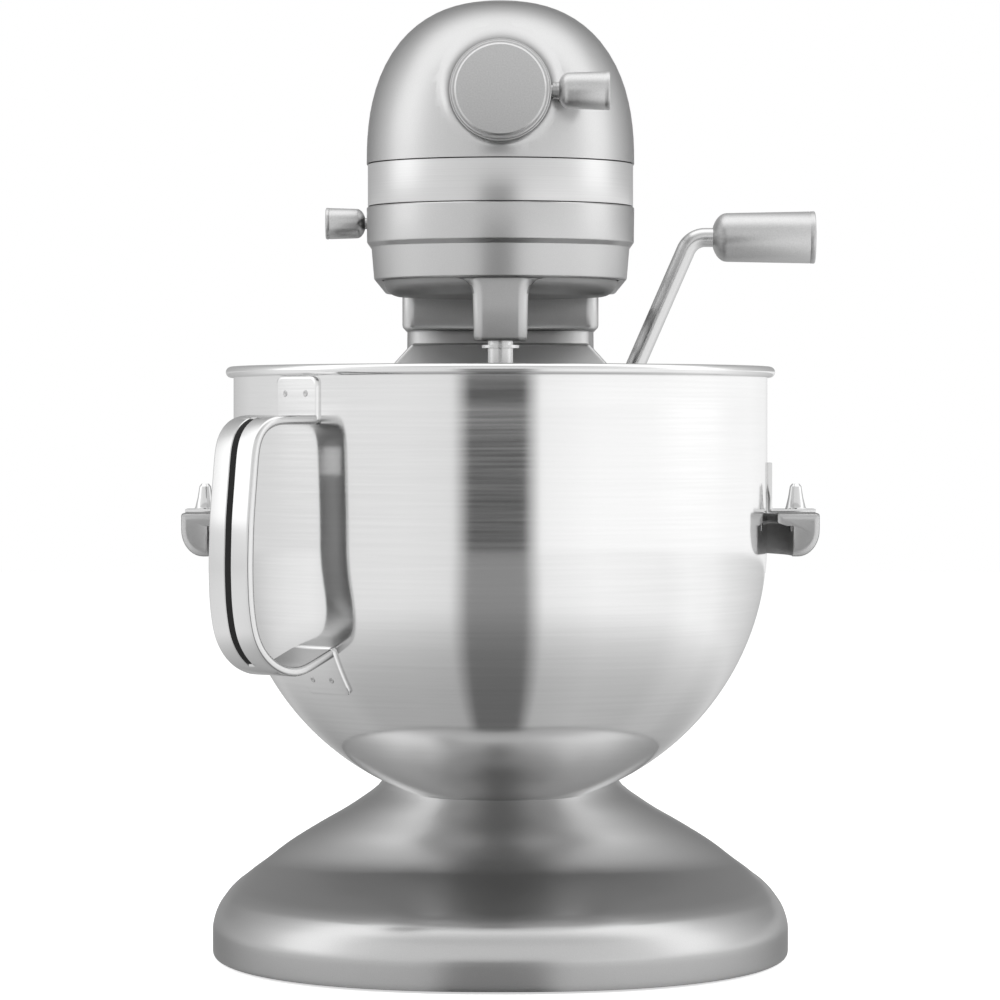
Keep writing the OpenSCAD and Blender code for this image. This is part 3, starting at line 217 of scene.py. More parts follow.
bpy.context.scene.view_settings.view_transform = "Standard"
camera_place, camera_dip = (-0.0002, -2.1, 0.235), 0.79
camera = bpy.data.cameras.new("front_camera")
camera.sensor_width = 36
camera.lens = 172.6
camera_object = bpy.data.objects.new("front_camera", camera)
camera_object.location = camera_place
camera_object.rotation_euler = (math.radians(90 - camera_dip), 0, 0)
bpy.context.scene.collection.objects.link(camera_object)
bpy.context.scene.camera = camera_object

# --- Pedestal -------------------------------------------------------------------------------
# The base, neck and column are one heavy die casting, sprayed satin metallic silver. It widens
# from the column into a broad oval foot with an upright rim. Sizes in millimetres throughout.


def surface(name, scale, detail=2.0, stretch=None):
    """A new material: its tree, its skin and a noise over the piece, drawn out where a stretch is given."""
    made = bpy.data.materials.new(name)
    made.use_nodes = True
    tree = made.node_tree
    at = node_of(tree, "ShaderNodeTexCoord").outputs["Object"]
    if stretch:
        at = node_of(tree, "ShaderNodeMapping", {"Vector": at, "Scale": stretch}).outputs[0]
    noise = node_of(tree, "ShaderNodeTexNoise", {"Vector": at, "Scale": scale, "Detail": detail})
    return made, tree, tree.nodes["Principled BSDF"], noise.outputs["Fac"]


def between(tree, noise, middle, change):
    """A number that drifts by change to each side of its middle."""
    return node_of(tree, "ShaderNodeMapRange",
                   {"Value": noise, "To Min": middle - change, "To Max": middle + change}).outputs[0]


def relief(tree, noise, strength, depth):
    bump = node_of(tree, "ShaderNodeBump", {"Height": noise, "Strength": strength, "Distance": depth})
    return bump.outputs[0]


def metal_paint(name, tone, rough, metallic, coat, edge):
    """Sprayed metallic paint: fine bright flake in a grey base under a thin clear coat."""
    made, tree, skin, flake = surface(name, 2600, 1)
    at = node_of(tree, "ShaderNodeTexCoord").outputs["Object"]
    drift = node_of(tree, "ShaderNodeTexNoise", {"Vector": at, "Scale": 14}).outputs["Fac"]
    fill(skin, {"Metallic": metallic, "Coat Weight": coat, "Coat Roughness": 0.12,
                "Specular Tint": (edge, edge, edge, 1), "Base Color": between(tree, flake, tone, tone * 0.07),
                "Roughness": between(tree, drift, rough, 0.03), "Normal": relief(tree, flake, 0.05, 0.00004)})
    return made


silver_paint = metal_paint("silver_paint", 0.56, 0.30, 0.9, 0.2, 0.35)
mm = 0.001


def smooth_piece(name, points, faces, sharp=38):
    """A mesh piece from points in millimetres, smooth apart from edges sharper than the angle."""
    mesh = bpy.data.meshes.new(name)
    mesh.from_pydata([[v * mm for v in p] for p in points], [], faces)
    work = bmesh.new()
    work.from_mesh(mesh)
    bmesh.ops.remove_doubles(work, verts=work.verts, dist=1e-7)
    bmesh.ops.recalc_face_normals(work, faces=work.faces)
    work.to_mesh(mesh)
    work.free()
    mesh.polygons.foreach_set("use_smooth", [True] * len(mesh.polygons))
    mesh.set_sharp_from_angle(angle=math.radians(sharp))
    made = bpy.data.objects.new(name, mesh)
    bpy.context.scene.collection.objects.link(made)
    return made


def skinned(name, rings, sharp, closed=False):
    """A skin over rings of points, each with as many points: closed round, or with a lid on both ends."""
    ring_count, ring_size = len(rings), len(rings[0])
    faces = []
    for r in range(ring_count if closed else ring_count - 1):
        s = (r + 1) % ring_count
        for i in range(ring_size):
            j = (i + 1) % ring_size
            faces.append((r * ring_size + i, r * ring_size + j, s * ring_size + j, s * ring_size + i))
    if not closed:
        faces.append(tuple(range(ring_size)))
        faces.append(tuple((ring_count - 1) * ring_size + i for i in range(ring_size)))
    return smooth_piece(name, [p for ring in rings for p in ring], faces, sharp)


def through(stops, steps):
    """Rows on a smooth curve through stops that rise in height, with no bulge between them and
    as many steps as given for each stretch."""
    last = len(stops) - 1
    slopes = []
    for k, here in enumerate(stops):
        below, above = stops[max(k - 1, 0)], stops[min(k + 1, last)]
        row = []
        for p, q, r in zip(below, here, above):
            before = (q - p) / (here[0] - below[0]) if k > 0 else (r - q) / (above[0] - here[0])
            after = (r - q) / (above[0] - here[0]) if k < last else before
            row.append(2 * before * after / (before + after) if before * after > 0 else 0.0)
        slopes.append(row)
    rows = []
    for a, b, low, high in zip(stops, stops[1:], slopes, slopes[1:]):
        rise = b[0] - a[0]
        for k in range(steps):
            t = k / steps
            start, end = (1 + 2 * t) * (1 - t) ** 2, t * t * (3 - 2 * t)
            leave, arrive = t * (1 - t) ** 2, t * t * (1 - t)
            rows.append([p * start + q * end + rise * (u * leave - v * arrive)
                         for p, q, u, v in zip(a, b, low, high)])
    return rows + [list(stops[-1])]


def oval(z, wide, front_y, middle_y, back_y, square, count=120):
    """Upright oval at height z; square is 2 for an ellipse and more for a squarer outline."""
    ring = []
    for i in range(count):
        a = 2 * math.pi * i / count
        c, s = math.cos(a), math.sin(a)
        reach = back_y - middle_y if s >= 0 else middle_y - front_y
        ring.append((wide * math.copysign(abs(c) ** (2 / square), c),
                     middle_y + reach * math.copysign(abs(s) ** (2 / square), s), z))
    return ring


def baked(piece, sharp):
    """Works the piece's modifier into its mesh. Edges sharper than the angle stay crisp."""
    bpy.context.view_layer.update()
    result = bpy.data.meshes.new_from_object(piece.evaluated_get(bpy.context.evaluated_depsgraph_get()))
    piece.modifiers.clear()
    piece.data = result
    result.polygons.foreach_set("use_smooth", [True] * len(result.polygons))
    result.set_sharp_from_angle(angle=math.radians(sharp))


def changed_by(piece, operation, other, sharp=34):
    """Cuts the other solid out of the piece, or joins it on, and deletes the other."""
    change = piece.modifiers.new("change", "BOOLEAN")
    change.operation = operation
    change.object = other
    change.solver = "EXACT"
    baked(piece, sharp)
    bpy.data.objects.remove(other)


def block(name, low, high):
    x0, y0, z0 = low
    x1, y1, z1 = high
    points = [(x, y, z) for z in (z0, z1) for x, y in ((x0, y0), (x1, y0), (x1, y1), (x0, y1))]
    return smooth_piece(name, points, [(0, 1, 2, 3), (4, 5, 6, 7), (0, 1, 5, 4), (1, 2, 6, 5),
                                       (2, 3, 7, 6), (3, 0, 4, 7)])


def finish_piece(piece, body, slot, material, *replaced):
    """Gives the piece its material, the body that it moves with, and the bare nodes that it stands for."""
    piece.data.materials.clear()
    piece.data.materials.append(material)
    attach(piece, body)
    if replaced:
        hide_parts(*replaced)


base_half, base_front, base_back, base_middle = 130, -95, 251, 78
column_half, column_front, column_back, column_middle, column_top = 44, 141, 226, 183.5, 283
rim, foot_square = 13, 2.3


def foot_row(z, inset, tail_inset=None):
    """Row of the oval foot, drawn in by inset, and by tail_inset at its back where that differs."""
    return (z, base_half - inset, base_front + inset, base_middle,
            base_back - (inset if tail_inset is None else tail_inset), foot_square)


# height, half-width, front, widest place, back, squareness
pedestal_rows = [
    foot_row(1, 1.4),
    foot_row(1.5, 0.5),
    foot_row(2.5, 0.05),
    foot_row(4, 0),
    foot_row(rim, 0),
    foot_row(rim + 7, 1.6),
    foot_row(rim + 14, 6, 4.5),
    (rim + 18, base_half - 10, base_front + 16, base_middle + 4, base_back - 7.5, 2.2),
    (rim + 20, base_half - 13, -45, base_middle + 10, base_back - 9, 2.15),
    (rim + 22, base_half - 16, 6, base_middle + 20, base_back - 11, 2.1),
    (rim + 25, base_half - 21, 50, base_middle + 34, base_back - 13, 2.05),
    (rim + 32, base_half - 31, 66, base_middle + 48, base_back - 17, 2),
    (rim + 40, base_half - 45, 77, base_middle + 60, base_back - 20, 2.1),
    (rim + 48, base_half - 60, 88, base_middle + 70, base_back - 22, 2.3),
    (rim + 58, base_half - 74, 99, column_middle - 14, column_back + 1.5, 2.6),
    (rim + 75, column_half + 7, 112, column_middle - 8, column_back, 3),
    (rim + 98, column_half + 4, column_front - 18, column_middle - 4, column_back, 3.4),
    (rim + 118, column_half + 3, column_front - 7, column_middle - 1, column_back, 3.8),
    (rim + 130, column_half + 2.5, column_front, column_middle, column_back, 4),
    (rim + 200, column_half + 1.0, column_front, column_middle, column_back, 4.6),
    (column_top, column_half, column_front, column_middle, column_back, 6),
]
under_rows = [foot_row(7, 4), foot_row(1.4, 3.8), foot_row(1, 3.3)]
pedestal_rings = [oval(*row) for row in under_rows + through(pedestal_rows, 4)]
pedestal_casting = skinned("pedestal_casting", pedestal_rings, 40)
slot_wide, slot_low, slot_high = 12, 170, 236
tongue_slot = block("tongue_slot", (-slot_wide, column_front - 3, slot_low),
                    (slot_wide, column_front + 10, slot_high))
changed_by(pedestal_casting, "DIFFERENCE", tongue_slot)
finish_piece(pedestal_casting, "stand", "silver_paint", silver_paint, "pedestal")

# --- Underside ------------------------------------------------------------------------------
# A flat dark plate closes the hollow base. A steel screw up through each of five moulded rubber
# feet holds the foot and the plate. The cord's gland is moulded in the same rubber.


def tinted(tree, noise, colour, change):
    """A colour that drifts darker and lighter by a share."""
    darker = tuple(c * (1 - change) for c in colour) + (1,)
    lighter = tuple(min(1, c * (1 + change)) for c in colour) + (1,)
    return node_of(tree, "ShaderNodeMix", {"Factor": noise, "A": darker, "B": lighter},
                   data_type="RGBA").outputs["Result"]


def moulded(name, colour, rough, scale=900, bump=0.15, mottle=0.15, haze=0.06, metallic=0.0):
    """Moulded plastic or rubber: one colour with a faint mottle, a change of gloss and a stipple."""
    made, tree, skin, noise = surface(name, scale)
    fill(skin, {"Metallic": metallic, "Base Color": tinted(tree, noise, colour, mottle),
                "Roughness": between(tree, noise, rough, haze), "Normal": relief(tree, noise, bump, 0.0001)})
    return made


def turned(name, colour, rough, scale=300, metallic=1.0, grain=0.05):
    """Plain machined or cast metal: small changes of tone and gloss from the tool or the mould."""
    return moulded(name, colour, rough, scale, grain, metallic=metallic)


def dress(material, *names):
    for name in names:
        nodes[name].data.materials.clear()
        nodes[name].data.materials.append(material)


dark_plastic = moulded("dark_plastic", (0.045, 0.045, 0.048), 0.5)
grey_rubber = moulded("grey_rubber", (0.09, 0.09, 0.09), 0.75, 500, 0.3)
plain_steel = turned("plain_steel", (0.52, 0.52, 0.52), 0.32)
dress(dark_plastic, "bottom_plate")
dress(grey_rubber, "rubber_feet", "cord_gland")
dress(plain_steel, "bottom_screws")

# --- Lower head housing ---------------------------------------------------------------------
# A shallow cast trough with a round nose and tail. It steps in softly halfway down, its floor is
# open for the planetary, and a square neck block under it bolts down on the column.

head_half, nose_y, tail_y = 58.5, -1.5, 194.5
band_low, band_high, head_low, floor_top = 334, 353, 302, 305
opening_r, wall_in, band_wall_in, step_top = 52, 5, 3, 318


def round_ends(r, nose, tail, z, steps=36):
    """Long ring at height z: a half circle round the nose and one round the tail."""
    front = [math.pi * (1 + i / steps) for i in range(steps + 1)]
    back = [math.pi * i / steps for i in range(steps + 1)]
    return [(r * math.cos(a), nose + r * math.sin(a), z) for a in front] + \
        [(r * math.cos(a), tail + r * math.sin(a), z) for a in back]


def head_ring(inset, z):
    """Outline of the head in plan, drawn in by inset."""
    return round_ends(head_half - inset, nose_y, tail_y, z)


def hole_ring(r, z):
    """Round hole about the planetary's axis, with as many points as the head's outline."""
    return round_ends(r, 0, 0.01, z)


def rounded(corners, steps=5):
    """Points (x, y) or (x, y, radius) with each corner that has a radius turned into an arc."""
    made = []
    for i, corner in enumerate(corners):
        if len(corner) == 2 or i in (0, len(corners) - 1):
            made.append(tuple(corner[:2]))
            continue
        here, before, after = (Vector(c[:2]) for c in (corner, corners[i - 1], corners[i + 1]))
        u, v = (before - here).normalized(), (after - here).normalized()
        most = 0.49 * min((before - here).length, (after - here).length)
        reach = min(corner[2] / math.tan(u.angle(v) / 2), most)
        a, b = here + u * reach, here + v * reach
        for k in range(steps + 1):
            t = k / steps
            made.append(tuple(a * (1 - t) ** 2 + here * 2 * t * (1 - t) + b * t * t))
    return made


tier = rounded([(0.45, band_low), (0, band_low - 0.5, 0.3), (0.15, step_top + 0.5, 1.2),
                (2.1, step_top - 1.6, 1.2), (3.3, head_low, 2.6), (5.6, head_low)])
inside = [(wall_in, floor_top), (wall_in, step_top), (band_wall_in, step_top), (band_wall_in, band_low)]
lower_rings = [head_ring(inset, z) for inset, z in tier]
lower_rings += [hole_ring(opening_r, head_low), hole_ring(opening_r, floor_top)]
lower_rings += [head_ring(inset, z) for inset, z in inside]
lower_housing_casting = skinned("lower_housing_casting", lower_rings, 30, closed=True)
speed_z, slot_rise, slot_front, slot_back = 329.2, 3.5, 1, 55
speed_slot = block("speed_slot", (-64, slot_front, speed_z - slot_rise),
                   (-43.5, slot_back, speed_z + slot_rise))
changed_by(lower_housing_casting, "DIFFERENCE", speed_slot)
finish_piece(lower_housing_casting, "stand", "silver_paint", silver_paint, "lower_housing")


def soften(piece, width, steps=3, sharp=38):
    """Rounds every sharp edge of the piece."""
    ease = piece.modifiers.new("ease", "BEVEL")
    ease.width = width * mm
    ease.segments = steps
    ease.limit_method = "ANGLE"
    ease.angle_limit = math.radians(sharp)
    baked(piece, sharp)


def corner_arcs(reach_x, reach_y, across, along, steps):
    """Four quarter ellipses about the corners of a rectangle that reaches so far each way."""
    ring = []
    for k, (sx, sy) in enumerate(((1, 1), (-1, 1), (-1, -1), (1, -1))):
        turns = [math.radians(90 * k + 90 / steps * i) for i in range(steps + 1)]
        ring += [(sx * reach_x + across * math.cos(a), sy * reach_y + along * math.sin(a)) for a in turns]
    return ring


neck_half, neck_front, neck_back, neck_corner = 45.4, 116, 228, 6
neck_reach, neck_middle = (neck_back - neck_front) / 2 - neck_corner, (neck_front + neck_back) / 2
neck_outline = corner_arcs(neck_half - neck_corner, neck_reach, neck_corner, neck_corner, 8)
neck_rings = [[(x, neck_middle + y, z) for x, y in neck_outline] for z in (column_top, head_low + 1)]
neck_block = skinned("neck_block", neck_rings, 40)
soften(neck_block, 2.2)
finish_piece(neck_block, "stand", "silver_paint", silver_paint)

# --- Trim band ------------------------------------------------------------------------------
# A flat strip of steel brushed along its length, wrapped round the head in a shallow recess
# between the two housings, with a thin dark joint above and below.


def brushed(name, colour, rough, along, bump=0.06, streak=0.07):
    """Steel brushed round its Z axis, with fine scratches drawn out by the scales given."""
    made, tree, skin, scratch = surface(name, 1, 3, along)
    fill(skin, {"Metallic": 1, "Base Color": tinted(tree, scratch, colour, streak),
                "Roughness": between(tree, scratch, rough, 0.04),
                "Normal": relief(tree, scratch, bump, 0.00005)})
    return made


band_metal = brushed("band_metal", (0.66, 0.66, 0.66), 0.30, (12, 12, 2600))
joint = 0.35
band_profile = rounded([(1.4, band_low + joint), (0.5, band_low + joint, 0.4),
                        (0.5, band_high - joint, 0.4), (1.4, band_high - joint)], 3)
band_profile += [(band_wall_in, band_high), (band_wall_in, band_low)]
band_rings = [head_ring(inset, z) for inset, z in band_profile]
trim_band_strip = skinned("trim_band_strip", band_rings, 30, closed=True)
finish_piece(trim_band_strip, "stand", "band_metal", band_metal, "trim_band")

# --- Upper head housing ---------------------------------------------------------------------
# A thin domed shell, cast in one piece with the raised boss round the attachment hub. It ends at
# a fine seam near the back, where the rear cover takes over.

dome_rise, dome_square, shell, rear_seam = 71, 2.4, 3.0, 186
dome_turns = [0, 3, 6, 10, 14, 18, 23, 28, 33, 39, 45, 50, 55, 60, 65, 69, 73, 77, 80, 83, 86, 88, 89.3, 90]


def dome_at(turn, inset):
    """Half width and height of the dome at an angle up from the band, drawn in by inset."""
    half = (head_half - inset) * max(0.0, math.cos(math.radians(turn))) ** (2 / dome_square)
    return half, band_high + (dome_rise - inset) * math.sin(math.radians(turn)) ** (2 / dome_square)


def half_round(r, middle_y, way, z, steps=60):
    """Half circle from right to left, to the back where way is 1 and to the front where it is -1."""
    turns = [math.pi * k / steps for k in range(steps + 1)]
    return [(r * math.cos(a), middle_y + way * r * math.sin(a), z) for a in turns]


def nose_path(turn, inset, back_y):
    """Path round the nose at one height, from the seam on the right to the seam on the left."""
    r, z = dome_at(turn, inset)
    side = [(r, back_y + (nose_y - back_y) * k / 6, z) for k in range(6)]
    return side + half_round(r, nose_y, -1, z) + [(-x, y, z) for x, y, z in reversed(side)]


def tail_path(turn, inset, front_y):
    """Path round the tail at one height, from the seam on the right to the seam on the left."""
    r, z = dome_at(turn, inset)
    return [(r, front_y, z)] + half_round(r, tail_y, 1, z) + [(-r, front_y, z)]


def shell_piece(name, path, seam_y):
    """Thin dome between an outer and an inner skin, open below and at its seam, closed on top."""
    layers = [[path(turn, inset, seam_y) for turn in dome_turns] for inset in (0, shell)]
    count, rows = len(layers[0][0]), len(dome_turns)

    def at(layer, row, i):
        return (layer * rows + row) * count + i

    faces = [(at(layer, row, i), at(layer, row, i + 1), at(layer, row + 1, i + 1), at(layer, row + 1, i))
             for layer in (0, 1) for row in range(rows - 1) for i in range(count - 1)]
    faces += [(at(0, 0, i), at(0, 0, i + 1), at(1, 0, i + 1), at(1, 0, i)) for i in range(count - 1)]
    faces += [(at(0, row, i), at(0, row + 1, i), at(1, row + 1, i), at(1, row, i))
              for i in (0, count - 1) for row in range(rows - 1)]
    return smooth_piece(name, [p for layer in layers for ring in layer for p in ring], faces, 34)


upper_housing_shell = shell_piece("upper_housing_shell", nose_path, rear_seam)

hub_z, hub_r, boss_r, boss_front, boss_back = 381, 21, 21.7, -63.9, -28
boss_turns, blend_steps, blend_skirt, boss_room = 120, 8, 1.2, 24.2


def nose_face(x, z):
    """Where the nose of the dome is, straight ahead of a point (x, z)."""
    turn = math.degrees(math.asin(min(1, max(0, (z - band_high) / dome_rise) ** (dome_square / 2))))
    r = dome_at(turn, 0)[0]
    return nose_y - math.sqrt(max(r * r - x * x, 0))


def blend_r(a):
    """Radius of the blend between dome and boss: fuller over the boss than under it."""
    return 5.4 + 2.4 * math.sin(a)


def boss_ring(radius, depth):
    """Ring round the hub's axis: its radius goes by the angle, its depth by x, z and the angle."""
    ring = []
    for i in range(boss_turns):
        a = 2 * math.pi * i / boss_turns
        x, z = radius(a) * math.cos(a), hub_z + radius(a) * math.sin(a)
        ring.append((x, depth(x, z, a), z))
    return ring


def skirt(a):
    return boss_r + blend_r(a) + blend_skirt


boss_rings = [boss_ring(skirt, lambda x, z, a: boss_back),
              boss_ring(skirt, lambda x, z, a: nose_face(x, z) + 0.25)]
for k in range(blend_steps + 1):
    t = math.radians(90 * k / blend_steps)
    boss_rings.append(boss_ring(lambda a: boss_r + blend_r(a) * (1 - math.sin(t)),
                                lambda x, z, a: nose_face(x, z) - blend_r(a) * (1 - math.cos(t))))
boss_lip = rounded([(boss_r, boss_front + 0.6), (boss_r, boss_front, 0.5), (hub_r + 0.05, boss_front),
                    (hub_r + 0.05, boss_back)], 3)
for r, y in boss_lip:
    boss_rings.append(boss_ring(lambda a: r, lambda x, z, a: y))
hub_boss = skinned("hub_boss", boss_rings, 40, closed=True)


def lathe(name, profile, at, axis, steps=64, sharp=34):
    """Turned piece: profile of (radius, distance along the axis) from the point at."""
    along = Vector(axis).normalized()
    side = along.orthogonal().normalized()
    up = along.cross(side)
    turns = [2 * math.pi * i / steps for i in range(steps)]
    points, faces, rows = [], [], []
    for r, d in profile:
        middle = Vector(at) + along * d
        if r < 1e-6:
            rows.append([len(points)] * steps)
            points.append(tuple(middle))
        else:
            rows.append(list(range(len(points), len(points) + steps)))
            points += [tuple(middle + side * (r * math.cos(a)) + up * (r * math.sin(a))) for a in turns]
    for a, b in zip(rows, rows[1:]):
        for i in range(steps):
            j = (i + 1) % steps
            corners = list(dict.fromkeys((a[i], a[j], b[j], b[i])))
            if len(corners) > 2:
                faces.append(corners)
    return smooth_piece(name, points, faces, sharp)


def round_bar(name, r, length, at, axis, steps=64):
    return lathe(name, [(0, 0), (r, 0), (r, length), (0, length)], at, axis, steps)


hub_opening = round_bar("hub_opening", boss_room, 60, (0, boss_front - 11.1, hub_z), (0, 1, 0))
changed_by(upper_housing_shell, "DIFFERENCE", hub_opening)
changed_by(upper_housing_shell, "UNION", hub_boss)
finish_piece(upper_housing_shell, "stand", "silver_paint", silver_paint, "upper_housing")

# --- Rear cover -----------------------------------------------------------------------------
# A matching shell, cast and sprayed like the housing, closes the back of the motor. One long
# steel screw in its middle holds it.

rear_cover_shell = shell_piece("rear_cover_shell", tail_path, rear_seam + 0.4)
screw_low, screw_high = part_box("rear_cover_screw")
seat_r, seat_deep = 5.3, 2.2
seat_place = (0, screw_high.y / mm - seat_deep, (screw_low.z + screw_high.z) / 2 / mm)
changed_by(rear_cover_shell, "DIFFERENCE", round_bar("screw_seat", seat_r, 40, seat_place, (0, 1, 0)))
finish_piece(rear_cover_shell, "stand", "silver_paint", silver_paint, "rear_cover")
dress(plain_steel, "rear_cover_screw")

# --- Attachment hub -------------------------------------------------------------------------
# A cast socket at the front of the head, with a turned rim. A round cap pushes into it, and a
# thumb screw with a flared knob clamps an attachment's shank.

satin_metal = turned("satin_metal", (0.60, 0.60, 0.60), 0.38, 1500)
bore_r, tube_r, cap_r, stem_r, cap_face = 8.1, 16, 19.7, 15.85, -70
tube_profile = rounded([(bore_r, 0), (tube_r, 0), (tube_r, -28.5), (tube_r + 1, -30, 0.8),
                        (hub_r, -30, 0.8), (hub_r, 10), (bore_r, 10), (bore_r, 0)])
hub_tube = lathe("hub_tube", tube_profile, (0, -36, hub_z), (0, 1, 0), 96)
finish_piece(hub_tube, "stand", "silver_paint", silver_paint, "hub_socket")

cap_profile = rounded([(0, 0), (cap_r - 0.8, 0, 0.3), (cap_r, 0.9, 0.5), (cap_r, 3.7, 0.3),
                       (stem_r, 3.7, 0.2), (stem_r, 6.7, 0.4), (0, 6.7)], 4)
hub_cap = lathe("hub_cap", cap_profile, (0, cap_face, hub_z), (0, 1, 0), 96, 28)
finish_piece(hub_cap, "hub_cover", "satin_metal", satin_metal, "hub_cover")


def flared_knob(r, length, line):
    """Profile of a knob: domed inner end, flared barrel, fine line near the flat outer end."""
    inner, end = r * 0.93, length - line
    dome = [(inner * math.sin(math.radians(a)), inner * 0.62 * (1 - math.cos(math.radians(a))))
            for a in range(0, 91, 10)]
    groove = [(r - 0.12, end - 0.25), (r - 0.26, end - 0.05), (r - 0.26, end + 0.05), (r - 0.1, end + 0.25)]
    return dome + groove + [(r, length - 0.75), (r - 0.2, length - 0.25), (r - 0.75, length), (0, length)]


thumb_x, thumb_y = hub_r + 3.2, -58
thumb_profile = flared_knob(8.3, 22.5, 2.4)
attachment_grip = lathe("attachment_grip", thumb_profile, (thumb_x, thumb_y, hub_z), (1, 0, 0), 72, 40)
finish_piece(attachment_grip, "attachment_knob", "satin_metal", satin_metal, "attachment_knob")
ferrule = [(0, 16.6), (2.6, 16.6), (2.6, 22.3), (3.4, 22.3)]
for k in range(3):
    start = 22.4 + 0.55 * k
    ferrule += [(3.6, start), (3.6, start + 0.3), (3.25, start + 0.38), (3.25, start + 0.5)]
ferrule += [(3.6, 24.1), (3.6, 25.5), (0, 25.5)]
attachment_ferrule = lathe("attachment_ferrule", ferrule, (0, thumb_y, hub_z), (1, 0, 0), 48, 30)
finish_piece(attachment_ferrule, "attachment_knob", "plain_steel", plain_steel, "attachment_screw")

# --- Speed lever ----------------------------------------------------------------------------
# A small flared knob of satin metal, pushed on the rod of a steel slider that runs in a slot on
# the left of the head.

speed_grip = lathe("speed_grip", flared_knob(7.1, 18, 1.8), (-60.3, 50, speed_z), (-1, 0, 0), 72, 40)
finish_piece(speed_grip, "speed_lever", "satin_metal", satin_metal, "speed_knob")
dress(plain_steel, "speed_slider")

# --- Planetary ------------------------------------------------------------------------------
# A thick cast disc turns under the head and carries the beater shaft in a boss that hangs from
# it. The boss is sprayed silver like the head. The disc is given a darker grey: painted shade
# from the head's overhang. The shaft is steel.

# Darker grey for the disc: painted shade under the overhang of the head.
planetary_grey = metal_paint("planetary_grey", 0.30, 0.42, 0.8, 0.15, 0.4)
disc_r, disc_low, disc_high, disc_ease, collar_r = 51, 295, 309, 7, 11
quarter = [math.radians(a) for a in range(0, 91, 9)]
disc_profile = [(0, disc_low)]
disc_profile += [(disc_r - disc_ease * (1 - math.sin(a)), disc_low + disc_ease * (1 - math.cos(a)))
                 for a in quarter]
disc_profile += rounded([(disc_r, floor_top), (disc_r, disc_high, 0.5), (collar_r, disc_high),
                         (collar_r, disc_high + 3.6, 0.4), (0, disc_high + 3.6)], 4)
planetary_disc = lathe("planetary_disc", disc_profile, (0, 0, 0), (0, 0, 1), 120, 30)

shaft_y, shaft_room, boss_y, boss_low, boss_top = -36, 5.45, -38.5, 275, 301.6
boss_half_x, boss_half_y, boss_corner = 11.4, 13.2, 4.2
flare_out, flare_up = 6.9, 8


def boss_section(grow, z):
    """Section of the boss: it flares to the sides only, so its front stays flat up to the head."""
    ring = corner_arcs(boss_half_x - boss_corner, boss_half_y - boss_corner, boss_corner + grow,
                       boss_corner + min(grow, 0), 8)
    return [(x, boss_y + y, z) for x, y in ring]


boss_steps = [(-1.2, boss_low), (-0.5, boss_low + 0.15), (-0.15, boss_low + 0.6), (0, boss_low + 1.4),
              (0.4, 290)]
for k in range(10):
    a = math.radians(10 * k)
    boss_steps.append((0.5 + flare_out * (1 - math.cos(a)), boss_top + flare_up * (math.sin(a) - 1)))
boss_steps.append((-3, boss_top))
planetary_boss = skinned("planetary_boss", [boss_section(grow, z) for grow, z in boss_steps], 40)
changed_by(planetary_disc, "UNION", planetary_boss)
shaft_bore = round_bar("shaft_bore", shaft_room, 60, (0, shaft_y, boss_low - 5), (0, 0, 1), 48)
changed_by(planetary_disc, "DIFFERENCE", shaft_bore)
finish_piece(planetary_disc, "planetary", "planetary_grey", planetary_grey, "planetary")
# The boss takes the silver paint; the rest of the disc keeps the darker grey of painted shade.
planetary_disc.data.materials.append(silver_paint)
for face in planetary_disc.data.polygons:
    out = math.hypot(face.center.x, face.center.y)
    if face.center.z < (disc_low - 0.1) * mm or out > (disc_r + 0.05) * mm:
        face.material_index = 1


def polished(name, colour, rough):
    """Mirror-polished steel with the faintest haze from wiping."""
    return moulded(name, colour, rough + 0.015, 60, 0.0, 0.02, 0.015, 1.0)


polished_steel = polished("polished_steel", (0.74, 0.74, 0.74), 0.09)
satin_steel = polished("satin_steel", (0.68, 0.68, 0.68), 0.22)
dress(satin_steel, "beater_shaft", "beater_pin", "shaft_collar")

# --- Bowl lift ------------------------------------------------------------------------------
# A cast yoke rides up and down the front of the column on two rails. Its arms reach round the
# bowl, and a tapered steel pin stands on the end of each. The bent lever on the right works it.

arm_top, arm_in, arm_out, arm_depth, pin_x = 200.4, 121, 139.6, 18.8, 129.3
lug_r, lug_drop, ledge = 9.5, 11.8, 4.2
lug_round = [(arm_out - lug_r * (1 - math.cos(a)), arm_top - arm_depth + lug_drop * (1 - math.sin(a)))
             for a in quarter]
arm_outline = rounded([(arm_in, arm_top - 2), (arm_in, arm_top, 0.8), (arm_out, arm_top, 1.4)] + lug_round
                      + [(arm_in + 6.7, arm_top - arm_depth), (arm_in + 6.7, arm_top - ledge, 1.5),
                         (arm_in, arm_top - ledge, 1.0), (arm_in, arm_top - 2)])[:-1]
arm_swing, arm_steps, arm_ease = 6.0, 72, 0.9
plate_low, plate_top, plate_front, plate_back, plate_half = arm_top - arm_depth, 277, 123.5, 133, 60


def arm_section(turn, draw=0.0):
    """The arm's section at an angle, drawn in towards its middle by a share to round the ends."""
    a = math.radians(turn)
    middle_r, middle_z = (arm_in + arm_out) / 2 + 2, arm_top - arm_depth * 0.42
    drawn = [(r + (middle_r - r) * draw, z + (middle_z - z) * draw) for r, z in arm_outline]
    return [(r * math.cos(a), r * math.sin(a), z) for r, z in drawn]


arm_ends = [(0, 0.34), (0.06, 0.16), (0.35, 0.04)]
arm_span = 180 + 2 * (arm_swing - arm_ease)
arm_rings = [arm_section(-arm_swing + turn, draw) for turn, draw in arm_ends]
arm_rings += [arm_section(-arm_swing + arm_ease + arm_span * i / arm_steps) for i in range(arm_steps + 1)]
arm_rings += [arm_section(180 + arm_swing - turn, draw) for turn, draw in reversed(arm_ends)]
yoke_arms = skinned("yoke_arms", arm_rings, 45)
arm_trim = block("arm_trim", (-plate_half, plate_back, 150), (plate_half, 150, 250))
changed_by(yoke_arms, "DIFFERENCE", arm_trim)


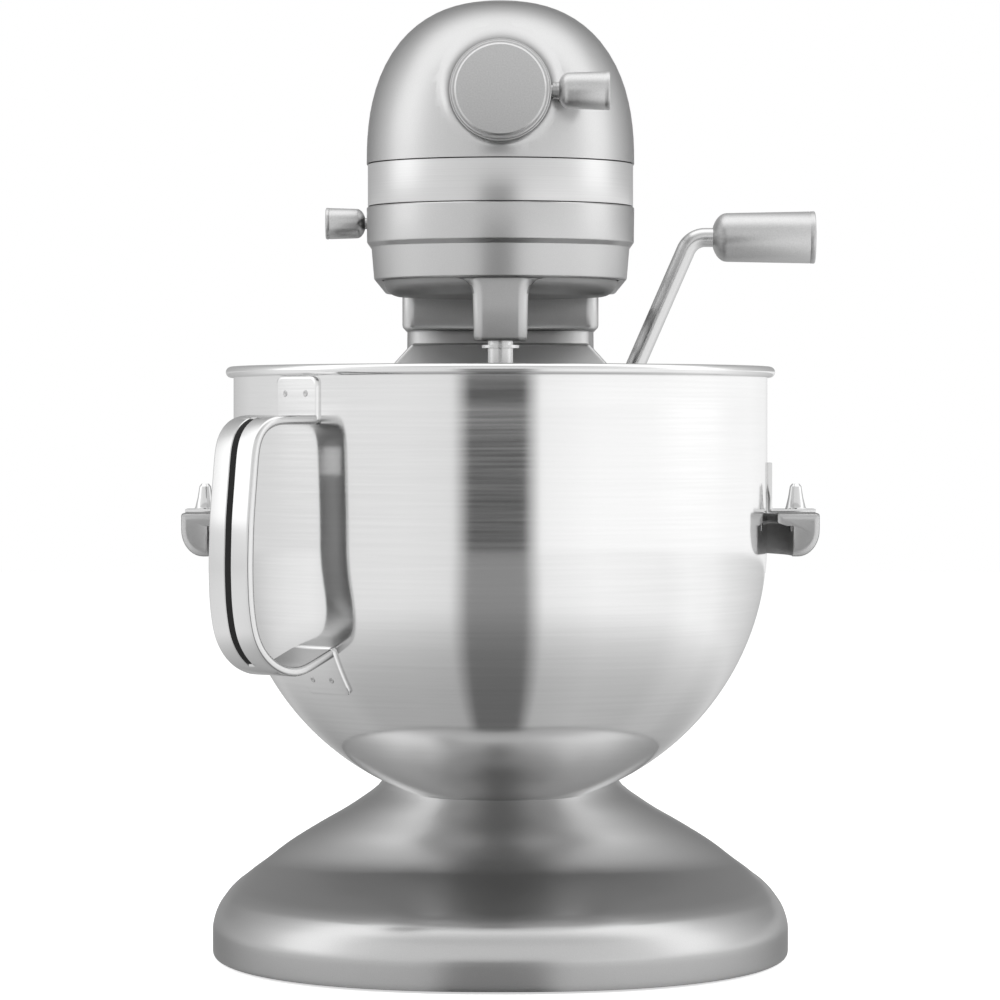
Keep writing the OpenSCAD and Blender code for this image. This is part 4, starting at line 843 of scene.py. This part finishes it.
def slab(name, outline, front, back, sharp=30):
    """Flat plate with an outline of (x, z), between a front and a back."""
    return skinned(name, [[(x, y, z) for x, z in outline] for y in (front, back)], sharp)


plate_outline = [(-plate_half, plate_low), (plate_half, plate_low), (plate_half, plate_top - 21),
                 (41, plate_top), (-41, plate_top), (-plate_half, plate_top - 21)]
yoke_plate = slab("yoke_plate", plate_outline, plate_front, plate_back)
soften(yoke_plate, 1.6)
tongue_half, tongue_low, tongue_back, tongue_top = 11.7, 206.4, 152, 232.4
guide_half, guide_back = 25.7, 140.7
pin_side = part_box("bowl_yoke")[1].y / mm
guide_block = block("guide_block", (-guide_half, plate_back - 1, arm_top - 10),
                    (guide_half, guide_back, plate_top))
tongue = block("tongue", (-tongue_half, plate_back - 1, tongue_low), (tongue_half, tongue_back, tongue_top))
side_bar = block("side_bar", (9.4, tongue_back - 9, tongue_low), (tongue_half, pin_side, 226))
for part in (guide_block, tongue, side_bar):
    changed_by(yoke_plate, "UNION", part)
finish_piece(yoke_arms, "carriage", "silver_paint", silver_paint, "bowl_yoke")
finish_piece(yoke_plate, "carriage", "silver_paint", silver_paint)
pin_r, pin_long, pin_z = 3, 9, 219.04
pin_profile = rounded([(0, 0), (pin_r, 0, 0.4), (pin_r, pin_long, 0.4), (0, pin_long)])
carriage_pin = lathe("carriage_pin", pin_profile, (3, pin_side - pin_r, pin_z), (1, 0, 0), 32)
finish_piece(carriage_pin, "carriage", "plain_steel", plain_steel)

taper = [(0, -8), (3, -8), (3, 0), (4.6, 0), (4.6, 2.2), (4.35, 2.6), (3.3, 6.9), (2.55, 11.6), (1.6, 12.8),
         (0, 12.8)]
for side, name, replaced in ((1, "right", ["locating_pins"]), (-1, "left", [])):
    locating_pin = lathe("locating_pin_" + name, taper, (side * pin_x, 0, arm_top), (0, 0, 1), 48, 24)
    finish_piece(locating_pin, "carriage", "polished_steel", polished_steel, *replaced)


def tube(name, path, radius, sides=32):
    """Round bar along a path of points."""
    rings, side = [], None
    turns = [2 * math.pi * k / sides for k in range(sides)]
    for i, p in enumerate(path):
        ahead = (Vector(path[min(i + 1, len(path) - 1)]) - Vector(path[max(i - 1, 0)])).normalized()
        side = (side - ahead * side.dot(ahead) if side else ahead.orthogonal()).normalized()
        up = ahead.cross(side)
        rings.append([tuple(Vector(p) + side * radius * math.cos(a) + up * radius * math.sin(a))
                      for a in turns])
    return skinned(name, rings, 50)


lever_x, lift_y, lift_z, grip_z, rod_r, bend_r, bend_steps = 48.5, 172, 232, 328, 4.5, 10, 12
lean = math.radians(23.6)
corner_x = lever_x + (grip_z - lift_z) * math.tan(lean)
reach = bend_r * math.tan((math.pi / 2 - lean) / 2)
rod_path = [(lever_x + math.tan(lean) * h, lift_y, lift_z + h) for h in (5.2, 30, 60)]
for k in range(bend_steps + 1):
    a = (math.pi / 2 - lean) * (1 - k / bend_steps)
    rod_path.append((corner_x + reach - bend_r * math.sin(a), lift_y, grip_z - bend_r + bend_r * math.cos(a)))
grip_x = corner_x + 9.5
rod_path += [(corner_x + reach + 4, lift_y, grip_z), (grip_x + 4, lift_y, grip_z)]
lever_rod = tube("lever_rod", rod_path, rod_r)
eye_in, eye_out = 5, 8
eye_profile = rounded([(eye_in, 0), (eye_out, 0, 0.8), (eye_out, 8, 1.5), (0, 8), (0, 5), (eye_in, 5),
                       (eye_in, 0)])
changed_by(lever_rod, "UNION", lathe("lever_boss", eye_profile, (45.3, lift_y, lift_z), (1, 0, 0), 48))
finish_piece(lever_rod, "lift_lever", "polished_steel", satin_steel, "lift_rod")
lever_grip = lathe("lever_grip", flared_knob(12.4, 49, 2.6), (grip_x, lift_y, grip_z), (1, 0, 0), 96, 40)
finish_piece(lever_grip, "lift_lever", "satin_metal", satin_metal, "lift_grip")
bearing_bronze = turned("bearing_bronze", (0.55, 0.38, 0.18), 0.35)
dress(plain_steel, "lift_shaft", "lift_link", "guide_rails", "bowl_spring")
dress(bearing_bronze, "lift_bushes", "shaft_bushes")

# --- Bowl -----------------------------------------------------------------------------------
# Spun from one stainless sheet: a straight wall, a round lower half, a small flat to stand on and
# a rolled rim. It is brushed in fine level lines.

bowl_steel = brushed("bowl_steel", (0.80, 0.80, 0.80), 0.11, (14, 14, 800), 0.06, 0.05)
round_it = node_of(bowl_steel.node_tree, "ShaderNodeTangent", direction_type="RADIAL", axis="Z")
fill(bowl_steel.node_tree.nodes["Principled BSDF"],
     {"Anisotropic": 0.6, "Anisotropic Rotation": 0.25, "Tangent": round_it.outputs[0]})
rim_steel = polished("rim_steel", (0.78, 0.78, 0.78), 0.12)

bowl_r, wall, bowl_low, bowl_mid, bowl_top, bead = 116.7, 1.2, 77, 188, 264.3, 2.4
bead_r, bead_low = bowl_r + bead * 0.4, bowl_top - 2 * bead


def bowl_side(r, low):
    """Profile from the middle of the flat bottom up to the rim, at radius r."""
    start = math.asin((bowl_mid - low) / r)
    turns = [start * (1 - k / 40) for k in range(41)]
    return [(0, low)] + [(r * math.cos(a), bowl_mid - r * math.sin(a)) for a in turns] + \
        [(r, z) for z in (200, 215, 230, 245, bead_low - 0.4)]


rim_turns = [math.radians(a) for a in range(-112, 133, 12)]
roll = [(bead_r + bead * math.cos(a), bowl_top - bead + bead * math.sin(a)) for a in rim_turns]
bowl_profile = bowl_side(bowl_r, bowl_low) + roll + [(bowl_r - wall, bowl_top - bead - 0.6)]
bowl_profile += bowl_side(bowl_r - wall, bowl_low + wall)[::-1]
mixing_bowl = lathe("mixing_bowl", bowl_profile, (0, 0, 0), (0, 0, 1), 192, 30)
finish_piece(mixing_bowl, "bowl", "bowl_steel", bowl_steel, "bowl")
mixing_bowl.data.materials.append(rim_steel)
for face in mixing_bowl.data.polygons:
    out = math.hypot(face.center.x, face.center.y)
    if face.center.z > (bead_low - 0.3) * mm and out > (bowl_r - 0.7) * mm:
        face.material_index = 1

# --- Bowl handle ----------------------------------------------------------------------------
# A wide polished strap bent round the hand, with a black strip let into it. Each end is welded
# to the bowl by a plate with two spot welds.

strap_width, strap_t, strap_edge, handle_reach, handle_top, handle_low = 26, 4, 1.3, 155.5, 241, 134
handle_turn = math.radians(270 - 47)
strap_mid = handle_reach - strap_t / 2
half_w, half_t = strap_width / 2, strap_t / 2


def arc(cx, cz, r, start, end, steps):
    turns = [math.radians(start + (end - start) * i / steps) for i in range(steps + 1)]
    return [(cx + r * math.cos(a), cz + r * math.sin(a)) for a in turns]


def wall_at(z):
    return bowl_r if z > bowl_mid else math.sqrt(bowl_r ** 2 - (bowl_mid - z) ** 2)


strap_stops = [(bowl_r + 0.6, handle_top)] + arc(strap_mid - 16.5, handle_top - 13, 13, 90, 8, 6)
strap_stops += [(strap_mid - 0.6, handle_top - 42), (strap_mid, handle_top - 62),
                (strap_mid - 0.6, handle_top - 78)]
strap_stops += arc(strap_mid - 25.5, handle_low + 25, 24, 0, -96, 7)
strap_stops += [(wall_at(handle_low + 9) + 0.8, handle_low + 8.5)]


def even_path(stops, count, passes):
    """Points evenly spaced along the stops, with the corners between them eased by each pass."""
    lengths = [0.0]
    for a, b in zip(stops, stops[1:]):
        lengths.append(lengths[-1] + math.dist(a, b))
    path, k = [], 0
    for i in range(count + 1):
        want = lengths[-1] * i / count
        while k < len(stops) - 2 and lengths[k + 1] < want:
            k += 1
        t = (want - lengths[k]) / (lengths[k + 1] - lengths[k])
        path.append(tuple(p + (q - p) * t for p, q in zip(stops[k], stops[k + 1])))
    for _ in range(passes):
        eased = [tuple((p + 2 * q + r) / 4 for p, q, r in zip(a, b, c))
                 for a, b, c in zip(path, path[1:], path[2:])]
        path = path[:1] + eased + path[-1:]
    return path


strap_path = even_path(strap_stops, 110, 14)


def turned_to_handle(out, across, z):
    """Place in the mixer of a point so far out from the bowl's axis and across the handle."""
    c, s = math.cos(handle_turn), math.sin(handle_turn)
    return (out * c - across * s, out * s + across * c, z)


def strap_ring(i, section):
    """A section of (across, outward) set square to the strap's path at its point i."""
    (out, z), (ax, az) = strap_path[i], strap_path[max(i - 1, 0)]
    bx, bz = strap_path[min(i + 1, len(strap_path) - 1)]
    long = math.hypot(bx - ax, bz - az)
    nx, nz = -(bz - az) / long, (bx - ax) / long
    return [turned_to_handle(out + nx * w, across, z + nz * w) for across, w in section]


slot_half, slot_deep, slot_ease, slot_lip, strip_drop = 2.0, 1.2, 0.3, 0.35, 0.35
groove_start, groove_end = 16, 86
strap_rings = []
for i in range(len(strap_path)):
    grooved = groove_start <= i <= groove_end
    deep, ease = (slot_deep, slot_ease) if grooved else (0.0, 0.0)
    section = [(-slot_half - slot_lip, half_t), (-slot_half, half_t - ease), (-slot_half, half_t - deep),
               (slot_half, half_t - deep), (slot_half, half_t - ease), (slot_half + slot_lip, half_t),
               (half_w - strap_edge, half_t)]
    for middle, turns in ((half_t - strap_edge, (22, 45, 68, 90)),
                          (strap_edge - half_t, (90, 112, 135, 158, 180))):
        section += [(half_w - strap_edge + strap_edge * math.sin(math.radians(a)),
                     middle + strap_edge * math.cos(math.radians(a))) for a in turns]
    section += [(-across, w) for across, w in section[:5:-1]]
    strap_rings.append(strap_ring(i, section))
strap_handle = skinned("strap_handle", strap_rings, 40)
handle_steel = polished("handle_steel", (0.70, 0.70, 0.70), 0.15)
# Darker steel for the strap's inner side: painted shade in the gap between strap and bowl.
painted_shade_steel = polished("handle_inner_steel", (0.34, 0.34, 0.34), 0.30)
finish_piece(strap_handle, "bowl", "polished_steel", handle_steel, "bowl_handle")
strap_handle.data.materials.append(painted_shade_steel)
hand_room = Vector(turned_to_handle(bowl_r + 17, 0, bowl_mid)) * mm
# Faces that look towards the room between strap and bowl take the darker steel of painted shade.
for face in strap_handle.data.polygons:
    if face.normal.dot((hand_room - face.center).normalized()) > 0.55:
        face.material_index = 1

strip_section = [(-slot_half, half_t - slot_deep), (slot_half, half_t - slot_deep),
                 (slot_half, half_t - strip_drop), (0, half_t - 0.2), (-slot_half, half_t - strip_drop)]
strip_black = moulded("strip_black", (0.010, 0.010, 0.010), 0.6, 900, 0.05)
fill(strip_black.node_tree.nodes["Principled BSDF"], {"Specular IOR Level": 0.12})
strip_rings = [strap_ring(i, strip_section) for i in range(groove_start, groove_end + 1)]
black_strip = skinned("black_strip", strip_rings, 40)
finish_piece(black_strip, "bowl", "dark_plastic", strip_black, "handle_insert")

plate_lift, weld_lift, straight_parts = 1.6, 1.55, 10


def on_wall(across, height, lift):
    """Point lifted off the bowl's outside, under the handle."""
    r = bowl_r + lift
    if height >= bowl_mid:
        return turned_to_handle(math.sqrt(r * r - across * across), across, height)
    down = (bowl_mid - height) / bowl_r
    flat = r * math.sqrt(1 - down * down)
    return turned_to_handle(math.sqrt(flat * flat - across * across), across, bowl_mid - r * down)


def plate_on_wall(name, z0, z1, corner):
    """Thin plate with round corners, bent to the bowl's wall under the handle."""
    middle = (z0 + z1) / 2
    corners = corner_arcs(half_w - corner, (z1 - z0) / 2 - corner, corner, corner, 6)
    outline = []
    for (x0, h0), (x1, h1) in zip(corners, corners[1:] + corners[:1]):
        parts = straight_parts if math.hypot(x1 - x0, h1 - h0) > 5 else 1
        outline += [(x0 + (x1 - x0) * i / parts, h0 + (h1 - h0) * i / parts) for i in range(parts)]
    steps = [(0.02 + 0.088 * k, plate_lift) for k in range(11)]
    steps += [(0.95, plate_lift), (0.985, plate_lift - 0.12), (1.0, plate_lift - 0.45), (1.0, -0.3)]
    rings = [[on_wall(x * share, middle + h * share, out) for x, h in outline] for share, out in steps]
    return skinned(name, rings, 40)


upper_plate = plate_on_wall("handle_upper_plate", handle_top - 2, handle_top + 18.2, 3)
lower_plate = plate_on_wall("handle_lower_plate", handle_low - 8.9, handle_low + 11, 2)
for plate in (upper_plate, lower_plate):
    finish_piece(plate, "bowl", "bowl_steel", bowl_steel)
weld_profile = [(0, 0.05), (0.5, 0.1), (0.8, 0.28), (1.1, 0.28), (1.4, 0.05), (1.5, -0.2), (0, -0.2)]
weld_places = [(-6.5, handle_top + 11), (6.5, handle_top + 11), (-6, handle_low - 2.5), (6, handle_low - 2.5)]
for k, (across, z) in enumerate(weld_places):
    level = 0 if z > bowl_mid else math.asin((bowl_mid - z) / bowl_r)
    r = (bowl_r + weld_lift) * math.cos(level)
    height = z if z > bowl_mid else bowl_mid - (bowl_r + weld_lift) * math.sin(level)
    centre = turned_to_handle(math.sqrt(r * r - across * across), across, height)
    out = Vector((centre[0], centre[1], 0)).normalized() * math.cos(level) - Vector((0, 0, math.sin(level)))
    weld = lathe("spot_weld_%d" % (k + 1), weld_profile, centre, out, 24, 60)
    finish_piece(weld, "bowl", "plain_steel", plain_steel)

# --- Bowl brackets --------------------------------------------------------------------------
# Folded steel angles spot-welded to the wall. The level flange drops over the locating pin. The
# clip on the back of the bowl is bent from the same steel and catches under a leaf spring.

bracket_t, bracket_half, bracket_rise, bracket_in = 1.8, 9, 22, 0.4
flange_end, bend_x = arm_out - 2, bowl_r + bracket_t
angle_profile = rounded([(bowl_r - bracket_in, arm_top), (flange_end, arm_top),
                         (flange_end, arm_top + bracket_t), (bend_x, arm_top + bracket_t, 1.2),
                         (bend_x, arm_top + bracket_rise),
                         (bowl_r - bracket_in, arm_top + bracket_rise)], 4)
for side, name, replaced in ((1, "right", ["bowl_brackets"]), (-1, "left", [])):
    outline = [(side * x, z) for x, z in angle_profile]
    angle = slab("bowl_bracket_" + name, outline, -bracket_half, bracket_half)
    changed_by(angle, "DIFFERENCE", round_bar("bowl_room", bowl_r - 0.05, 60, (0, 0, 190), (0, 0, 1), 192))
    changed_by(angle, "DIFFERENCE", round_bar("pin_hole", 4.9, 20, (side * pin_x, 0, 195), (0, 0, 1), 40))
    soften(angle, 0.35, 2)
    finish_piece(angle, "bowl", "bowl_steel", rim_steel, *replaced)
dress(rim_steel, "bowl_clip")

# --- Gear train -----------------------------------------------------------------------------
# Inside the head: a cast case and bracket, hardened steel gears, ground steel shafts and a
# bronze worm wheel. Four screws hold the ring gear under the case.

cast_metal = turned("cast_metal", (0.42, 0.42, 0.43), 0.55, 700, 0.9, 0.2)
gear_steel = turned("gear_steel", (0.30, 0.30, 0.31), 0.38)
dress(cast_metal, "gear_case", "gear_bracket", "motor_plates")
dress(gear_steel, "ring_gear", "centre_gear", "centre_bevel", "hub_gear", "beater_pinion", "drive_pinion",
      "worm")
dress(plain_steel, "case_screws", "centre_shaft", "planetary_pin", "wheel_shaft", "hub_drive_shaft",
      "armature_shaft", "motor_bolts")
dress(bearing_bronze, "worm_wheel")

# --- Motor ----------------------------------------------------------------------------------
# A series motor: stacked steel laminations, enamelled copper windings, a copper commutator with
# carbon brushes, a moulded fan and a small control board.

lamination = turned("lamination", (0.20, 0.20, 0.22), 0.45, 1200)
copper = turned("copper", (0.55, 0.24, 0.11), 0.35)
board_green = moulded("board_green", (0.03, 0.15, 0.06), 0.4)
dress(lamination, "stator")
dress(copper, "field_coils", "armature_core", "commutator")
dress(dark_plastic, "carbon_brushes", "cooling_fan")
dress(board_green, "control_board")
